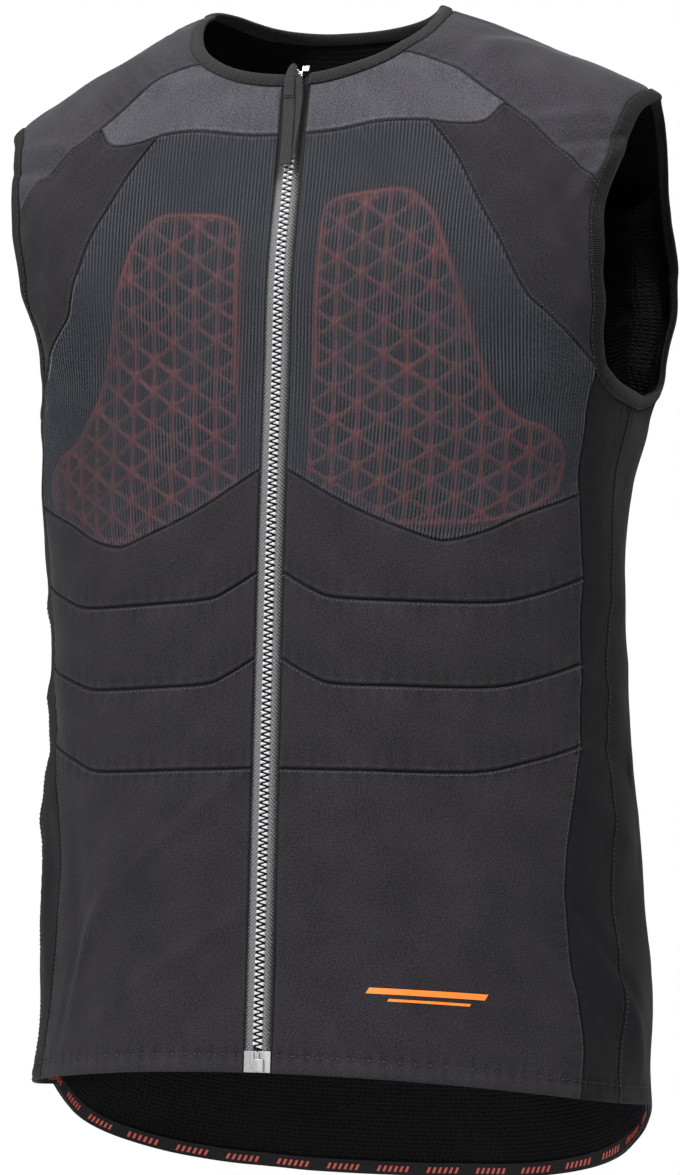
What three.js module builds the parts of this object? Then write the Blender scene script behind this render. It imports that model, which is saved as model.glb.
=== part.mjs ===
// A sleeveless zip-front vest with soft chest protectors behind mesh and a back protector pad.
// Millimetres. The wearer faces -Y, +X is the wearer's left and +Z is up.
// The origin lies on the centre plane, at the height where the neck meets the shoulders.
import * as THREE from "three";

// Body of the vest.
const FRONT_LENGTH = 621; // origin level down to the front hem
const SIDE_LENGTH = 652; // origin level down to the hem at the side
const TAIL_LENGTH = 718; // origin level down to the lowest point of the tail
const HALF_WIDTH = 180; // centre to side at the waist
const FRONT_DEPTH = 100; // side line to the front of the waist
const BACK_DEPTH = 100; // side line to the back of the shoulder blades

// Openings and their bindings.
const NECK_HALF_WIDTH = 72;
const NECK_FRONT_DROP = 47;
const NECK_BACK_DROP = 5;
const NECK_BINDING = 8;
const SHOULDER_TIP = 218; // centre to the armhole edge at the top of the shoulder
const ARMHOLE_DROP = 240; // origin level down to the underarm
const ARMHOLE_BINDING = 9;

// Cloth and clearances.
const CLOTH = 1.5;
const GAP = 0.3; // left between neighbouring pieces
const FACET_ROOM = 1.2; // left where two layers have different facets
const BAND_PUFF = 1.2; // how far a waist band swells between its seams
const BINDING_STAND = 0.8; // how far a binding stands proud of the cloth
const BINDING_BACK = 2.2; // how deep a binding reaches behind the cloth's face

// Zip.
const ZIP_HALF_WIDTH = 8;
const TEETH_HALF_WIDTH = 2.9;
const TEETH_STAND = 1;
const ZIP_STOP_HEIGHT = 12.5;
const SLIDER_LENGTH = 11;
const SLIDER_WIDTH = 8.6;
const SLIDER_HEIGHT = 4.2;
const PULL_LENGTH = 49;
const PULL_WIDTH = 7;
const PULL_THICK = 2.4;

// Pads.
const PAD_THICK = 8; // chest protectors
const PAD_WIDTH = 157; // measured round the chest
const PAD_HEIGHT = 176;
const PAD_FROM_CENTRE = 19;
const PAD_BOTTOM = 0.503; // height of the pad's lower edge, as a share of the front
const PAD_COLUMNS = 4; // rows and columns of pierced squares, each with two triangular holes
const PAD_ROWS = 6;
const PAD_RIB = 5; // width of the ribs between holes
const PAD_RIM = 7; // solid border round the holes
const RIBS_BY_HOLE = 1.5; // half a rib along each of a hole's three sides
const LINING = 1;
const POCKET_ROOM = 3; // space between a pad and its lining
const BACK_PAD_THICK = 14;
const BACK_PAD_EDGE = 0.6; // thickness of its edge, as a share of the middle's
const HEM_TAPE_HEIGHT = 9;

// Sections of the closed shell before its openings are cut. "along" runs 0 at the front hem,
// 1 on the shoulder ridge and 2 at the tail. Depth is a share of the front or back depth, reach a
// share of the half width, drop a share of the front or tail length and flankDrop of the side length.
const SECTIONS = [
  // along, depth, drop, corner reach, flank reach, flank depth, flank drop
  [0.0, -1.4, 1.0, 0.68, 1.045, -0.9, 0.982],
  [0.23, -1.24, 0.781, 0.62, 1.01, -0.78, 0.755],
  [0.36, -1.15, 0.652, 0.59, 0.99, -0.7, 0.629],
  [0.47, -1.07, 0.539, 0.6, 0.99, -0.68, 0.521],
  [0.565, -0.99, 0.443, 0.655, 1.005, -0.7, 0.4325],
  [0.64, -0.92, 0.362, 0.71, 1.04, -0.8, 0.35],
  [0.725, -0.84, 0.266, 0.75, 1.09, -0.95, 0.255],
  [0.805, -0.66, 0.169, 0.61, 1.1, -0.84, 0.166],
  [0.87, -0.53, 0.097, 0.445, 1.055, -0.6, 0.12],
  [0.935, -0.36, 0.035, 0.33, 1.0, -0.34, 0.077],
  [1.0, 0.08, -0.019, 0.33, 0.985, 0.08, 0.055],
  [1.065, 0.58, 0.003, 0.39, 1.03, 0.48, 0.077],
  [1.13, 0.76, 0.049, 0.5, 1.11, 0.74, 0.12],
  [1.195, 0.9, 0.111, 0.61, 1.18, 0.96, 0.166],
  [1.275, 1.03, 0.195, 0.72, 1.2, 1.14, 0.253],
  [1.36, 1.08, 0.279, 0.72, 1.11, 1.04, 0.35],
  [1.53, 0.98, 0.46, 0.58, 0.99, 0.64, 0.521],
  [1.64, 0.88, 0.564, 0.57, 0.99, 0.58, 0.632],
  [1.77, 0.9, 0.696, 0.59, 1.01, 0.62, 0.762],
  [2.0, 1.08, 1.0, 0.655, 1.045, 0.74, 1.08],
];

// The line down the side of the body, where the front and back sheets meet.
const SIDE_LINE = [
  // along, reach, depth, drop
  [0.0, 1.045, 0.0, 1.0],
  [0.23, 1.01, 0.0, 0.759],
  [0.36, 0.99, 0.0, 0.632],
  [0.47, 0.99, 0.02, 0.5245],
  [0.565, 1.005, 0.04, 0.4325],
  [0.64, 1.04, 0.06, 0.35],
  [0.725, 1.095, 0.08, 0.258],
  [0.805, 1.155, 0.08, 0.19],
  [0.87, 1.2, 0.08, 0.146],
  [0.935, 1.225, 0.08, 0.12],
  [1.0, 1.235, 0.08, 0.11],
];

// Soft folds of the worn cloth. Across and along place the middle, turn is in degrees from level,
// length and width are shares of the half width, and depth is in cloth thicknesses.
const FOLDS = [
  // across, along, turn, length, width, depth
  [0.7, 0.075, -52, 0.34, 0.09, -2.6],
  [0.82, 0.1, -58, 0.3, 0.1, 2.4],
  [0.16, 0.13, 62, 0.3, 0.14, -1.4],
  [0.36, 0.12, 78, 0.36, 0.16, 1.2],
];

// Edge of an armhole, from the underarm at 0 to the shoulder tip at 1.
const ARMHOLE_REACH = 0.29; // deepest cut in from the side line, as a share across
const ARMHOLE = [
  // up, front cut, back cut
  [0.0, 0.0, 0.0],
  [0.02, 0.36, 0.3],
  [0.05, 0.66, 0.5],
  [0.11, 0.85, 0.66],
  [0.2, 0.94, 0.76],
  [0.31, 0.93, 0.78],
  [0.42, 0.76, 0.68],
  [0.52, 0.57, 0.55],
  [0.62, 0.43, 0.4],
  [0.73, 0.29, 0.27],
  [0.885, 0.08, 0.1],
  [1.0, 0.0, 0.0],
];

// Seams of one side as shares [across, along].
const YOKE_SEAM = [[0.1, 0.836], [0.21, 0.843]];
const YOKE_CORNER = [0.305, 0.844];
const YOKE_WING = [[0.36, 0.841], [0.43, 0.845]];
const YOKE_TIP = [0.49, 0.869];
const SHOULDER_SEAM_UPPER = [[0.37, 0.912], [0.43, 0.893]];
const SHOULDER_SEAM_LOWER = [[0.53, 0.851], [0.588, 0.825]];
const MESH_OUTER = [[0.34, 0.812], [0.375, 0.77], [0.45, 0.705], [0.52, 0.682]];
const MESH_FOOT = [0.7, 0.641];
const MESH_BOTTOM = [
  [0.12, 0.527], [0.21, 0.508], [0.315, 0.492], [0.365, 0.49], [0.45, 0.499], [0.56, 0.517],
];
const BAND_SEAM_UPPER = [[0.08, 0.446], [0.13, 0.438], [0.27, 0.435], [0.47, 0.435], [0.585, 0.442]];
const BAND_SEAM_MIDDLE = [[0.08, 0.37], [0.13, 0.362], [0.27, 0.36], [0.45, 0.36], [0.56, 0.366]];
const BAND_SEAM_LOWER = [[0.16, 0.284], [0.42, 0.284], [0.57, 0.295]];
const ZIP_SEAM = { yoke: 0.834, mesh: 0.555, upper: 0.461, middle: 0.385, lower: 0.285 };
const SIDE_SEAM = {
  // the front side seam, foot of each stretch first
  hem: [0.68, 0.0],
  lower: [[0.68, 0.05], [0.652, 0.115], [0.652, 0.19], [0.69, 0.26]],
  atLower: [0.735, 0.31],
  atMiddle: [0.757, 0.384],
  atUpper: [0.757, 0.46],
  atMesh: [0.737, 0.538],
};
const HEM_MIDDLE = [0.3, 0.0];
const FLANK_SEAM = [[0.83, 0.0], [0.82, 0.1], [0.85, 0.24], [0.88, 0.4]];
const BACK_SIDE_SEAM = [[0.72, 2.0], [0.7, 1.8], [0.7, 1.6]];
const BACK_YOKE_SEAM = [[0.0, 1.165], [0.3, 1.16], [0.55, 1.15]];
const NECK_SHOULDER_ANGLE = 52; // degrees from the centre front to the shoulder seam

// Where seams meet the armhole's seam line, counted in its equal steps from the underarm.
const ARMHOLE_AT = { flank: 1, meshFoot: 3, shoulder: 12, backYoke: 22, backSide: 32, underarmAgain: 36 };

// Edges of a chest protector as shares [out, up] of its width from the centre and of its height.
const PAD_BOTTOM_EDGE = [[0, 0.06], [0.05, 0], [0.6, 0], [0.84, 0.05], [0.97, 0.13]];
const PAD_OUTER_EDGE = [
  [0.97, 0.13], [0.99, 0.24], [0.92, 0.31], [0.8, 0.34], [0.72, 0.39],
  [0.65, 0.5], [0.59, 0.66], [0.52, 0.82], [0.46, 0.93],
];
const PAD_TOP_EDGE = [[0, 0.94], [0.06, 0.985], [0.2, 1.0], [0.36, 1.0], [0.46, 0.93]];

// Column fractions of the front panels, closer together beside the zip and the side seam.
const COLUMNS = [0, 0.05, 0.17, 0.31, 0.46, 0.61, 0.75, 0.86, 0.95, 1];
const even = (count) => Array.from({ length: count + 1 }, (_, i) => i / count);

// Values of a table at a station, on smooth curves through its rows.
function readTable(table, station, levelEnd = false) {
  const last = table.length - 1;
  const x = Math.min(Math.max(station, table[0][0]), table[last][0]);
  let i = 0;
  while (i < last - 1 && table[i + 1][0] <= x) i += 1;
  const rise = (a, column) => (table[a + 1][column] - table[a][column]) / (table[a + 1][0] - table[a][0]);
  const slope = (a, column) => {
    if (a === 0) return rise(0, column);
    if (a === last) return levelEnd ? 0 : rise(last - 1, column);
    const before = table[a][0] - table[a - 1][0];
    const after = table[a + 1][0] - table[a][0];
    return (rise(a - 1, column) * after + rise(a, column) * before) / (before + after);
  };
  const step = table[i + 1][0] - table[i][0];
  const t = (x - table[i][0]) / step;
  const values = [];
  for (let column = 1; column < table[0].length; column += 1) {
    const from = table[i][column] * (2 * t ** 3 - 3 * t ** 2 + 1);
    const to = table[i + 1][column] * (3 * t ** 2 - 2 * t ** 3);
    const bend = slope(i, column) * (t ** 3 - 2 * t ** 2 + t) + slope(i + 1, column) * (t ** 3 - t ** 2);
    values.push(from + to + bend * step);
  }
  return values;
}

// A point of the shell. Across runs 0 at the centre to 1 at the side line. Below 0 it is mirrored,
// and above 1 it passes on to the other sheet.
function shell(across, along) {
  if (across < 0) return shell(-across, along).multiply(new THREE.Vector3(-1, 1, 1));
  if (across > 1) return shell(2 - across, 2 - along);
  const [depth, drop, corner, flank, flankDepth, flankDrop] = readTable(SECTIONS, along);
  const [sideReach, sideDepth, sideDrop] = readTable(SIDE_LINE, 1 - Math.abs(1 - along), true);
  const inDepth = (share) => share * (share < 0 ? FRONT_DEPTH : BACK_DEPTH);
  const centreZ = -drop * (along < 1 ? FRONT_LENGTH : TAIL_LENGTH);
  return new THREE.CubicBezierCurve3(
    new THREE.Vector3(0, inDepth(depth), centreZ),
    new THREE.Vector3(corner * HALF_WIDTH, inDepth(depth), centreZ),
    new THREE.Vector3(flank * HALF_WIDTH, inDepth(flankDepth), -flankDrop * SIDE_LENGTH),
    new THREE.Vector3(sideReach * HALF_WIDTH, inDepth(sideDepth), -sideDrop * SIDE_LENGTH),
  ).getPoint(across);
}

// Slopes of the shell across and along, and its outward normal.
const SLOPE_STEP = 0.003;
function slopes([across, along]) {
  const level = Math.min(Math.max(along, SLOPE_STEP), 2 - SLOPE_STEP);
  const acrossSlope = shell(across + SLOPE_STEP, level).sub(shell(across - SLOPE_STEP, level));
  const alongSlope = shell(across, level + SLOPE_STEP).sub(shell(across, level - SLOPE_STEP));
  acrossSlope.divideScalar(2 * SLOPE_STEP);
  alongSlope.divideScalar(2 * SLOPE_STEP);
  const normal = acrossSlope.clone().cross(alongSlope).normalize();
  return { acrossSlope, alongSlope, normal };
}

// How far the folds lift the cloth.
function foldLift([across, along]) {
  const side = Math.abs(across);
  let lift = 0;
  for (const [foldAcross, foldAlong, turn, length, width, depth] of FOLDS) {
    const x = (side - foldAcross) * HALF_WIDTH;
    const z = (along - foldAlong) * FRONT_LENGTH;
    const angle = THREE.MathUtils.degToRad(turn);
    const ahead = (x * Math.cos(angle) + z * Math.sin(angle)) / (length * HALF_WIDTH);
    const aside = (z * Math.cos(angle) - x * Math.sin(angle)) / (width * HALF_WIDTH);
    lift += depth * CLOTH * Math.exp(-(ahead ** 2) - aside ** 2);
  }
  return lift;
}

// A point at a height above the cloth's outer face.
function place(point, lift) {
  const { normal } = slopes(point);
  return shell(...point).addScaledVector(normal, lift + foldLift(point));
}

// The share at which a rising measure reaches its target.
function solve(measure, target, low, high) {
  let a = low;
  let b = high;
  for (let i = 0; i < 40; i += 1) {
    const middle = (a + b) / 2;
    if (measure(middle) < target) a = middle;
    else b = middle;
  }
  return (a + b) / 2;
}
const acrossAt = (x, along) => solve((across) => shell(across, along).x, x, 0, 0.9);

// Length of the cloth between two points, straight in shares.
function clothLength(from, to, steps = 6) {
  let length = 0;
  let before = shell(...from);
  for (let i = 1; i <= steps; i += 1) {
    const t = i / steps;
    const next = shell(from[0] + (to[0] - from[0]) * t, from[1] + (to[1] - from[1]) * t);
    length += next.distanceTo(before);
    before = next;
  }
  return length;
}

// The point reached by walking a length over the cloth in one direction.
function walk(from, [acrossWay, alongWay], length) {
  const end = (t) => [from[0] + acrossWay * t, from[1] + alongWay * t];
  return end(solve((t) => clothLength(from, end(t)), length, 0, 0.3));
}

// Points on the smooth curve through the given ones, at fractions of its length on the cloth.
const CURVE_SAMPLES = 48;
function spread(points, fractions) {
  const curve = new THREE.SplineCurve(points.map(([across, along]) => new THREE.Vector2(across, along)));
  const samples = even(CURVE_SAMPLES).map((t) => curve.getPoint(t));
  const reached = [0];
  for (let i = 1; i < samples.length; i += 1) {
    const step = shell(samples[i].x, samples[i].y).distanceTo(shell(samples[i - 1].x, samples[i - 1].y));
    reached.push(reached[i - 1] + step);
  }
  return fractions.map((fraction) => {
    const target = fraction * reached[CURVE_SAMPLES];
    let i = 1;
    while (i < CURVE_SAMPLES && reached[i] < target) i += 1;
    const t = (target - reached[i - 1]) / (reached[i] - reached[i - 1]);
    const point = samples[i - 1].clone().lerp(samples[i], t);
    return [point.x, point.y];
  });
}
const join = (...runs) => runs.reduce((all, run) => all.concat(run.slice(1)));
const reversed = (run) => run.slice().reverse();
const otherSheet = ([across, along]) => [2 - across, 2 - along];
const mirrored = ([across, along]) => [-across, along];

// Rows of points filling the space between four edges. Bottom and top run from left to right,
// left and right run from bottom to top.
function fill(bottom, right, top, left) {
  const columns = bottom.length - 1;
  const rows = left.length - 1;
  return left.map((_, j) => bottom.map((__, i) => {
    const u = i / columns;
    const v = j / rows;
    return [0, 1].map((k) => {
      const between = (1 - v) * bottom[i][k] + v * top[i][k] + (1 - u) * left[j][k] + u * right[j][k];
      const corners = (1 - u) * (1 - v) * bottom[0][k] + u * (1 - v) * bottom[columns][k]
        + (1 - u) * v * top[0][k] + u * v * top[columns][k];
      return between - corners;
    });
  }));
}

// The rows drawn in from their own edge, so that neighbours keep the gap.
const LEAST_SLANT = 0.2; // radians, where an edge meets its row
const MOST_DRAWN = 0.4; // share of the first cell
function drawnIn(rows, closed = false, amount = GAP / 2) {
  const grid = rows.map((row) => row.map((point) => point.slice()));
  const pull = (point, inner, beside) => {
    const here = shell(...point);
    const ahead = shell(...inner).sub(here);
    const edge = shell(...beside).sub(here);
    const slant = Math.max(ahead.angleTo(edge), LEAST_SLANT);
    const share = amount / (ahead.length() * Math.abs(Math.sin(slant)));
    return point.map((value, k) => value + (inner[k] - value) * Math.min(share, MOST_DRAWN));
  };
  const last = grid[0].length - 1;
  const top = grid.length - 1;
  for (const [edge, inner] of [[0, 1], [top, top - 1]]) {
    const beside = (i) => grid[edge][i < last ? i + 1 : i - 1];
    grid[edge] = grid[edge].map((point, i) => pull(point, grid[inner][i], beside(i)));
  }
  if (closed) return grid;
  for (const [edge, inner] of [[0, 1], [last, last - 1]]) {
    grid.map((row, j) => pull(row[edge], row[inner], grid[j < top ? j + 1 : j - 1][edge]))
      .forEach((point, j) => { grid[j][edge] = point; });
  }
  return grid;
}

// One closed body from an outer and an inner layer of points. Holes lists the triangular holes
// of each square, with their grid corners and their own corners on both layers.
function layeredBody(outer, inner, closed = false, holes = () => []) {
  const rows = outer.length;
  const columns = outer[0].length;
  const positions = [];
  const index = [];
  const addPoint = (point) => positions.push(point.x, point.y, point.z) / 3 - 1;
  const layers = [outer, inner].map((layer) => layer.map((row) => row.map(addPoint)));
  const at = (layer, j, i) => layers[layer][j][i % columns];
  const quad = (a, b, c, d) => index.push(a, b, c, a, c, d);
  const pierce = ({ corners, outer: upper, inner: lower }) => {
    const holeTop = upper.map(addPoint);
    const holeBottom = lower.map(addPoint);
    for (let k = 0; k < corners.length; k += 1) {
      const next = (k + 1) % corners.length;
      const [from, to] = [corners[k], corners[next]];
      quad(at(0, ...from), at(0, ...to), holeTop[next], holeTop[k]);
      quad(holeBottom[k], holeBottom[next], at(1, ...to), at(1, ...from));
      quad(holeTop[k], holeTop[next], holeBottom[next], holeBottom[k]);
    }
  };
  const spans = closed ? columns : columns - 1;
  for (let j = 0; j < rows - 1; j += 1) {
    for (let i = 0; i < spans; i += 1) {
      const pierced = holes(j, i);
      pierced.forEach(pierce);
      if (pierced.length === 0) {
        quad(at(0, j, i), at(0, j, i + 1), at(0, j + 1, i + 1), at(0, j + 1, i));
        quad(at(1, j, i), at(1, j + 1, i), at(1, j + 1, i + 1), at(1, j, i + 1));
      }
    }
  }
  for (let i = 0; i < spans; i += 1) {
    quad(at(1, 0, i), at(1, 0, i + 1), at(0, 0, i + 1), at(0, 0, i));
    quad(at(0, rows - 1, i), at(0, rows - 1, i + 1), at(1, rows - 1, i + 1), at(1, rows - 1, i));
  }
  for (let j = 0; !closed && j < rows - 1; j += 1) {
    quad(at(0, j, 0), at(0, j + 1, 0), at(1, j + 1, 0), at(1, j, 0));
    quad(at(1, j, columns - 1), at(1, j + 1, columns - 1), at(0, j + 1, columns - 1), at(0, j, columns - 1));
  }
  const geometry = new THREE.BufferGeometry();
  geometry.setAttribute("position", new THREE.Float32BufferAttribute(positions, 3));
  geometry.setIndex(index);
  return facingOut(geometry);
}

// The geometry with its faces turned outwards.
function facingOut(geometry) {
  const positions = geometry.getAttribute("position");
  const index = geometry.getIndex().array;
  const corner = (k) => new THREE.Vector3().fromBufferAttribute(positions, index[k]);
  let volume = 0;
  for (let k = 0; k < index.length; k += 3) volume += corner(k).cross(corner(k + 1)).dot(corner(k + 2));
  if (volume < 0) {
    for (let k = 0; k < index.length; k += 3) [index[k], index[k + 1]] = [index[k + 1], index[k]];
  }
  geometry.computeVertexNormals();
  return geometry;
}

// A cloth body over rows of points. Face and back give its two heights by row and column.
function cloth(rows, face, back, closed = false, holes = undefined) {
  const height = (value, j, i) => (typeof value === "function" ? value(j, i) : value);
  const layer = (value) => rows.map((row, j) => row.map((point, i) => place(point, height(value, j, i))));
  return layeredBody(layer(face), layer(back), closed, holes);
}

const onBorder = (rows, j, i) => j === 0 || i === 0 || j === rows.length - 1 || i === rows[0].length - 1;

// The same body on the wearer's other side.
function mirrorBody(geometry) {
  const copy = geometry.clone();
  copy.scale(-1, 1, 1);
  return facingOut(copy);
}

const COLOURS = {
  yoke: { color: 0x504c54, roughness: 0.85, metalness: 0 },
  softshell: { color: 0x373539, roughness: 0.9, metalness: 0 },
  stretch: { color: 0x201e1f, roughness: 0.9, metalness: 0 },
  mesh: { color: 0x3a3e42, roughness: 0.8, metalness: 0 },
  binding: { color: 0x29292b, roughness: 0.9, metalness: 0 },
  tape: { color: 0x8a8a8c, roughness: 0.9, metalness: 0 },
  teeth: { color: 0x17171a, roughness: 0.25, metalness: 0 },
  slider: { color: 0x9a958a, roughness: 0.3, metalness: 1 },
  stop: { color: 0xa8a8aa, roughness: 0.3, metalness: 0 },
  pad: { color: 0xb0402f, roughness: 0.7, metalness: 0 },
  lining: { color: 0x17181b, roughness: 0.8, metalness: 0 },
};
const group = new THREE.Group();
function add(name, geometry, look) {
  const mesh = new THREE.Mesh(geometry, new THREE.MeshStandardMaterial(COLOURS[look]));
  mesh.name = name;
  group.add(mesh);
}
function addPair(name, geometry, look) {
  add(`${name}_left`, geometry, look);
  add(`${name}_right`, mirrorBody(geometry), look);
}

// The neck opening is an oval in shares. Its angle is 0 at the centre front.
const centreHeight = (along) => shell(0, along).z;
const NECK_FRONT = solve(centreHeight, -NECK_FRONT_DROP, 0.5, 1);
const NECK_BACK = 2 - solve((back) => centreHeight(2 - back), -NECK_BACK_DROP, 0.5, 1);
const NECK_MIDDLE = (NECK_FRONT + NECK_BACK) / 2;
const NECK_SIDE = acrossAt(NECK_HALF_WIDTH, NECK_MIDDLE);
function neckOval(margin) {
  const front = walk([0, NECK_FRONT], [0, -1], margin)[1];
  const back = walk([0, NECK_BACK], [0, 1], margin)[1];
  const side = walk([NECK_SIDE, NECK_MIDDLE], [1, 0], margin)[0];
  const middle = (front + back) / 2;
  return (angle) => [side * Math.sin(angle), middle - ((back - front) / 2) * Math.cos(angle)];
}
const neckEdge = neckOval(GAP);
const neckSeam = neckOval(NECK_BINDING);
const FRONT_STEPS = COLUMNS.length - 1;
const WING_STEPS = 2;
const YOKE_STEPS = FRONT_STEPS + WING_STEPS;
const RIDGE_STEPS = ARMHOLE_AT.backYoke - ARMHOLE_AT.shoulder;
const BACK_HALF_STEPS = 5;
const NECK_BACK_STEPS = RIDGE_STEPS + BACK_HALF_STEPS;
const neckShoulderAngle = THREE.MathUtils.degToRad(NECK_SHOULDER_ANGLE);
const zipAngle = (oval) => solve((angle) => shell(...oval(angle)).x, ZIP_HALF_WIDTH, 0, 1);
const neckFront = (oval) => even(YOKE_STEPS)
  .map((t) => oval(THREE.MathUtils.lerp(zipAngle(oval), neckShoulderAngle, t)));
const neckBack = (oval) => even(NECK_BACK_STEPS)
  .map((t) => oval(THREE.MathUtils.lerp(neckShoulderAngle, Math.PI, t)));

// Points of an armhole's edge, starting at the underarm and going up the front.
const UNDERARM = solve((along) => shell(1, along).z, -ARMHOLE_DROP, 0.3, 0.95);
const TIP = acrossAt(SHOULDER_TIP, 1);
function armholePoint(up, back) {
  const [frontCut, backCut] = readTable(ARMHOLE, up);
  const cut = back ? backCut : frontCut;
  const across = 1 - (1 - TIP) * up - ARMHOLE_REACH * cut;
  const along = UNDERARM + (1 - UNDERARM) * up;
  return [across, back ? 2 - along : along];
}
const ARMHOLE_SAMPLES = 60;
const UNDERARM_CROWDING = 1.5; // power that draws samples towards the underarm
function armholeLoop() {
  const half = even(ARMHOLE_SAMPLES).map((t) => t ** UNDERARM_CROWDING);
  const points = half.map((up) => armholePoint(up, false))
    .concat(reversed(half).slice(1).map((up) => armholePoint(up, true)));
  const reached = [0];
  for (let i = 1; i < points.length; i += 1) {
    reached.push(reached[i - 1] + shell(...points[i]).distanceTo(shell(...points[i - 1])));
  }
  return even(ARMHOLE_AT.underarmAgain).slice(0, -1).map((fraction) => {
    const target = fraction * reached[reached.length - 1];
    let i = 1;
    while (reached[i] < target) i += 1;
    const t = (target - reached[i - 1]) / (reached[i] - reached[i - 1]);
    return points[i].map((value, k) => points[i - 1][k] + (value - points[i - 1][k]) * t);
  });
}

// The loop moved outwards over the cloth.
function widened(loop, amount) {
  return loop.map((point, i) => {
    const before = shell(...loop[(i + loop.length - 1) % loop.length]);
    const after = shell(...loop[(i + 1) % loop.length]);
    const { acrossSlope, alongSlope, normal } = slopes(point);
    const out = after.sub(before).cross(normal).normalize().negate().multiplyScalar(amount);
    const aa = acrossSlope.dot(acrossSlope);
    const al = acrossSlope.dot(alongSlope);
    const ll = alongSlope.dot(alongSlope);
    const a = out.dot(acrossSlope);
    const l = out.dot(alongSlope);
    const area = aa * ll - al * al;
    return [point[0] + (a * ll - l * al) / area, point[1] + (l * aa - a * al) / area];
  });
}
const armholeEdge = armholeLoop();
const armholeSeam = widened(armholeEdge, ARMHOLE_BINDING);
const armholeRun = (from, to) => armholeSeam.slice(from, to + 1);

// Key points of the front.
const zipSide = (along) => [acrossAt(ZIP_HALF_WIDTH, along), along];
const neckAtZip = neckSeam(zipAngle(neckSeam));
const neckAtShoulder = neckSeam(neckShoulderAngle);
const yokeAtZip = zipSide(ZIP_SEAM.yoke);
const zipRun = (low, high, steps) => even(steps).map((t) => zipSide(low + (high - low) * t));

// Seams that two panels share.
const yokeSeam = spread([yokeAtZip, ...YOKE_SEAM, YOKE_CORNER], COLUMNS);
const wingSeam = spread([YOKE_CORNER, ...YOKE_WING, YOKE_TIP], even(WING_STEPS));
const YOKE_ROWS = 3;
const LOWER_SHOULDER_STEPS = 2;
const shoulderUpper = spread([neckAtShoulder, ...SHOULDER_SEAM_UPPER, YOKE_TIP], even(YOKE_ROWS));
const shoulderLower = spread(
  [YOKE_TIP, ...SHOULDER_SEAM_LOWER, armholeSeam[ARMHOLE_AT.shoulder]],
  even(LOWER_SHOULDER_STEPS),
);
const meshOuter = spread(
  [MESH_FOOT, ...reversed(MESH_OUTER), YOKE_CORNER],
  even(ARMHOLE_AT.shoulder - ARMHOLE_AT.meshFoot),
);
const meshSide = spread([SIDE_SEAM.atMesh, MESH_FOOT], even(3));
const meshBottom = spread([zipSide(ZIP_SEAM.mesh), ...MESH_BOTTOM, SIDE_SEAM.atMesh], COLUMNS);
const upperSeam = spread([zipSide(ZIP_SEAM.upper), ...BAND_SEAM_UPPER, SIDE_SEAM.atUpper], COLUMNS);
const middleSeam = spread([zipSide(ZIP_SEAM.middle), ...BAND_SEAM_MIDDLE, SIDE_SEAM.atMiddle], COLUMNS);
const lowerSeam = spread([zipSide(ZIP_SEAM.lower), ...BAND_SEAM_LOWER, SIDE_SEAM.atLower], COLUMNS);
const frontHem = spread([zipSide(0), HEM_MIDDLE, SIDE_SEAM.hem], COLUMNS);
const BAND_ROWS = 2;
const LOWER_ROWS = 6;
const sideOfLower = spread([SIDE_SEAM.hem, ...SIDE_SEAM.lower, SIDE_SEAM.atLower], even(LOWER_ROWS));
const sideOfLowerBand = spread([SIDE_SEAM.atLower, SIDE_SEAM.atMiddle], even(BAND_ROWS));
const sideOfMiddleBand = spread([SIDE_SEAM.atMiddle, SIDE_SEAM.atUpper], even(BAND_ROWS));
const sideOfUpperBand = spread([SIDE_SEAM.atUpper, SIDE_SEAM.atMesh], even(BAND_ROWS));
const flankSeam = (steps) => spread([...FLANK_SEAM, armholeSeam[ARMHOLE_AT.flank]], even(steps));
const BACK_ROWS = 8;
const backSideSeam = spread([...BACK_SIDE_SEAM, armholeSeam[ARMHOLE_AT.backSide]], even(BACK_ROWS));
const backYokeSeam = spread([...BACK_YOKE_SEAM, armholeSeam[ARMHOLE_AT.backYoke]], even(BACK_HALF_STEPS));

// Panels of the front.
function addYokes() {
  const rows = fill(
    join(yokeSeam, wingSeam),
    reversed(shoulderUpper),
    neckFront(neckSeam),
    zipRun(yokeAtZip[1], neckAtZip[1], YOKE_ROWS),
  );
  addPair("yoke", cloth(drawnIn(rows), 0, -CLOTH), "yoke");
}

function addArmholePanels() {
  const rows = fill(
    spread([MESH_FOOT, armholeSeam[ARMHOLE_AT.meshFoot]], even(WING_STEPS + LOWER_SHOULDER_STEPS)),
    armholeRun(ARMHOLE_AT.meshFoot, ARMHOLE_AT.shoulder),
    join(wingSeam, shoulderLower),
    meshOuter,
  );
  addPair("armhole_panel", cloth(drawnIn(rows), 0, -CLOTH), "softshell");
}

const meshRows = fill(
  meshBottom,
  join(meshSide, meshOuter),
  yokeSeam,
  zipRun(ZIP_SEAM.mesh, yokeAtZip[1], meshSide.length + meshOuter.length - 2),
);
const upperBandRows = fill(
  upperSeam,
  sideOfUpperBand,
  meshBottom,
  zipRun(ZIP_SEAM.upper, ZIP_SEAM.mesh, BAND_ROWS),
);

function addChestMesh() {
  addPair("chest_mesh", cloth(drawnIn(meshRows), 0, -CLOTH), "mesh");
}

// A band swells between its seams.
function addBand(name, rows) {
  const middleRow = (rows.length - 1) / 2;
  const puffed = (j, i) => (j === middleRow && i > 0 && i < rows[0].length - 1 ? BAND_PUFF : 0);
  addPair(name, cloth(drawnIn(rows), puffed, (j, i) => puffed(j, i) - CLOTH), "softshell");
}

function addBands() {
  addBand("upper_band", upperBandRows);
  addBand("middle_band", fill(
    middleSeam, sideOfMiddleBand, upperSeam, zipRun(ZIP_SEAM.middle, ZIP_SEAM.upper, BAND_ROWS),
  ));
  addBand("lower_band", fill(
    lowerSeam, sideOfLowerBand, middleSeam, zipRun(ZIP_SEAM.lower, ZIP_SEAM.middle, BAND_ROWS),
  ));
}

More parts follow.
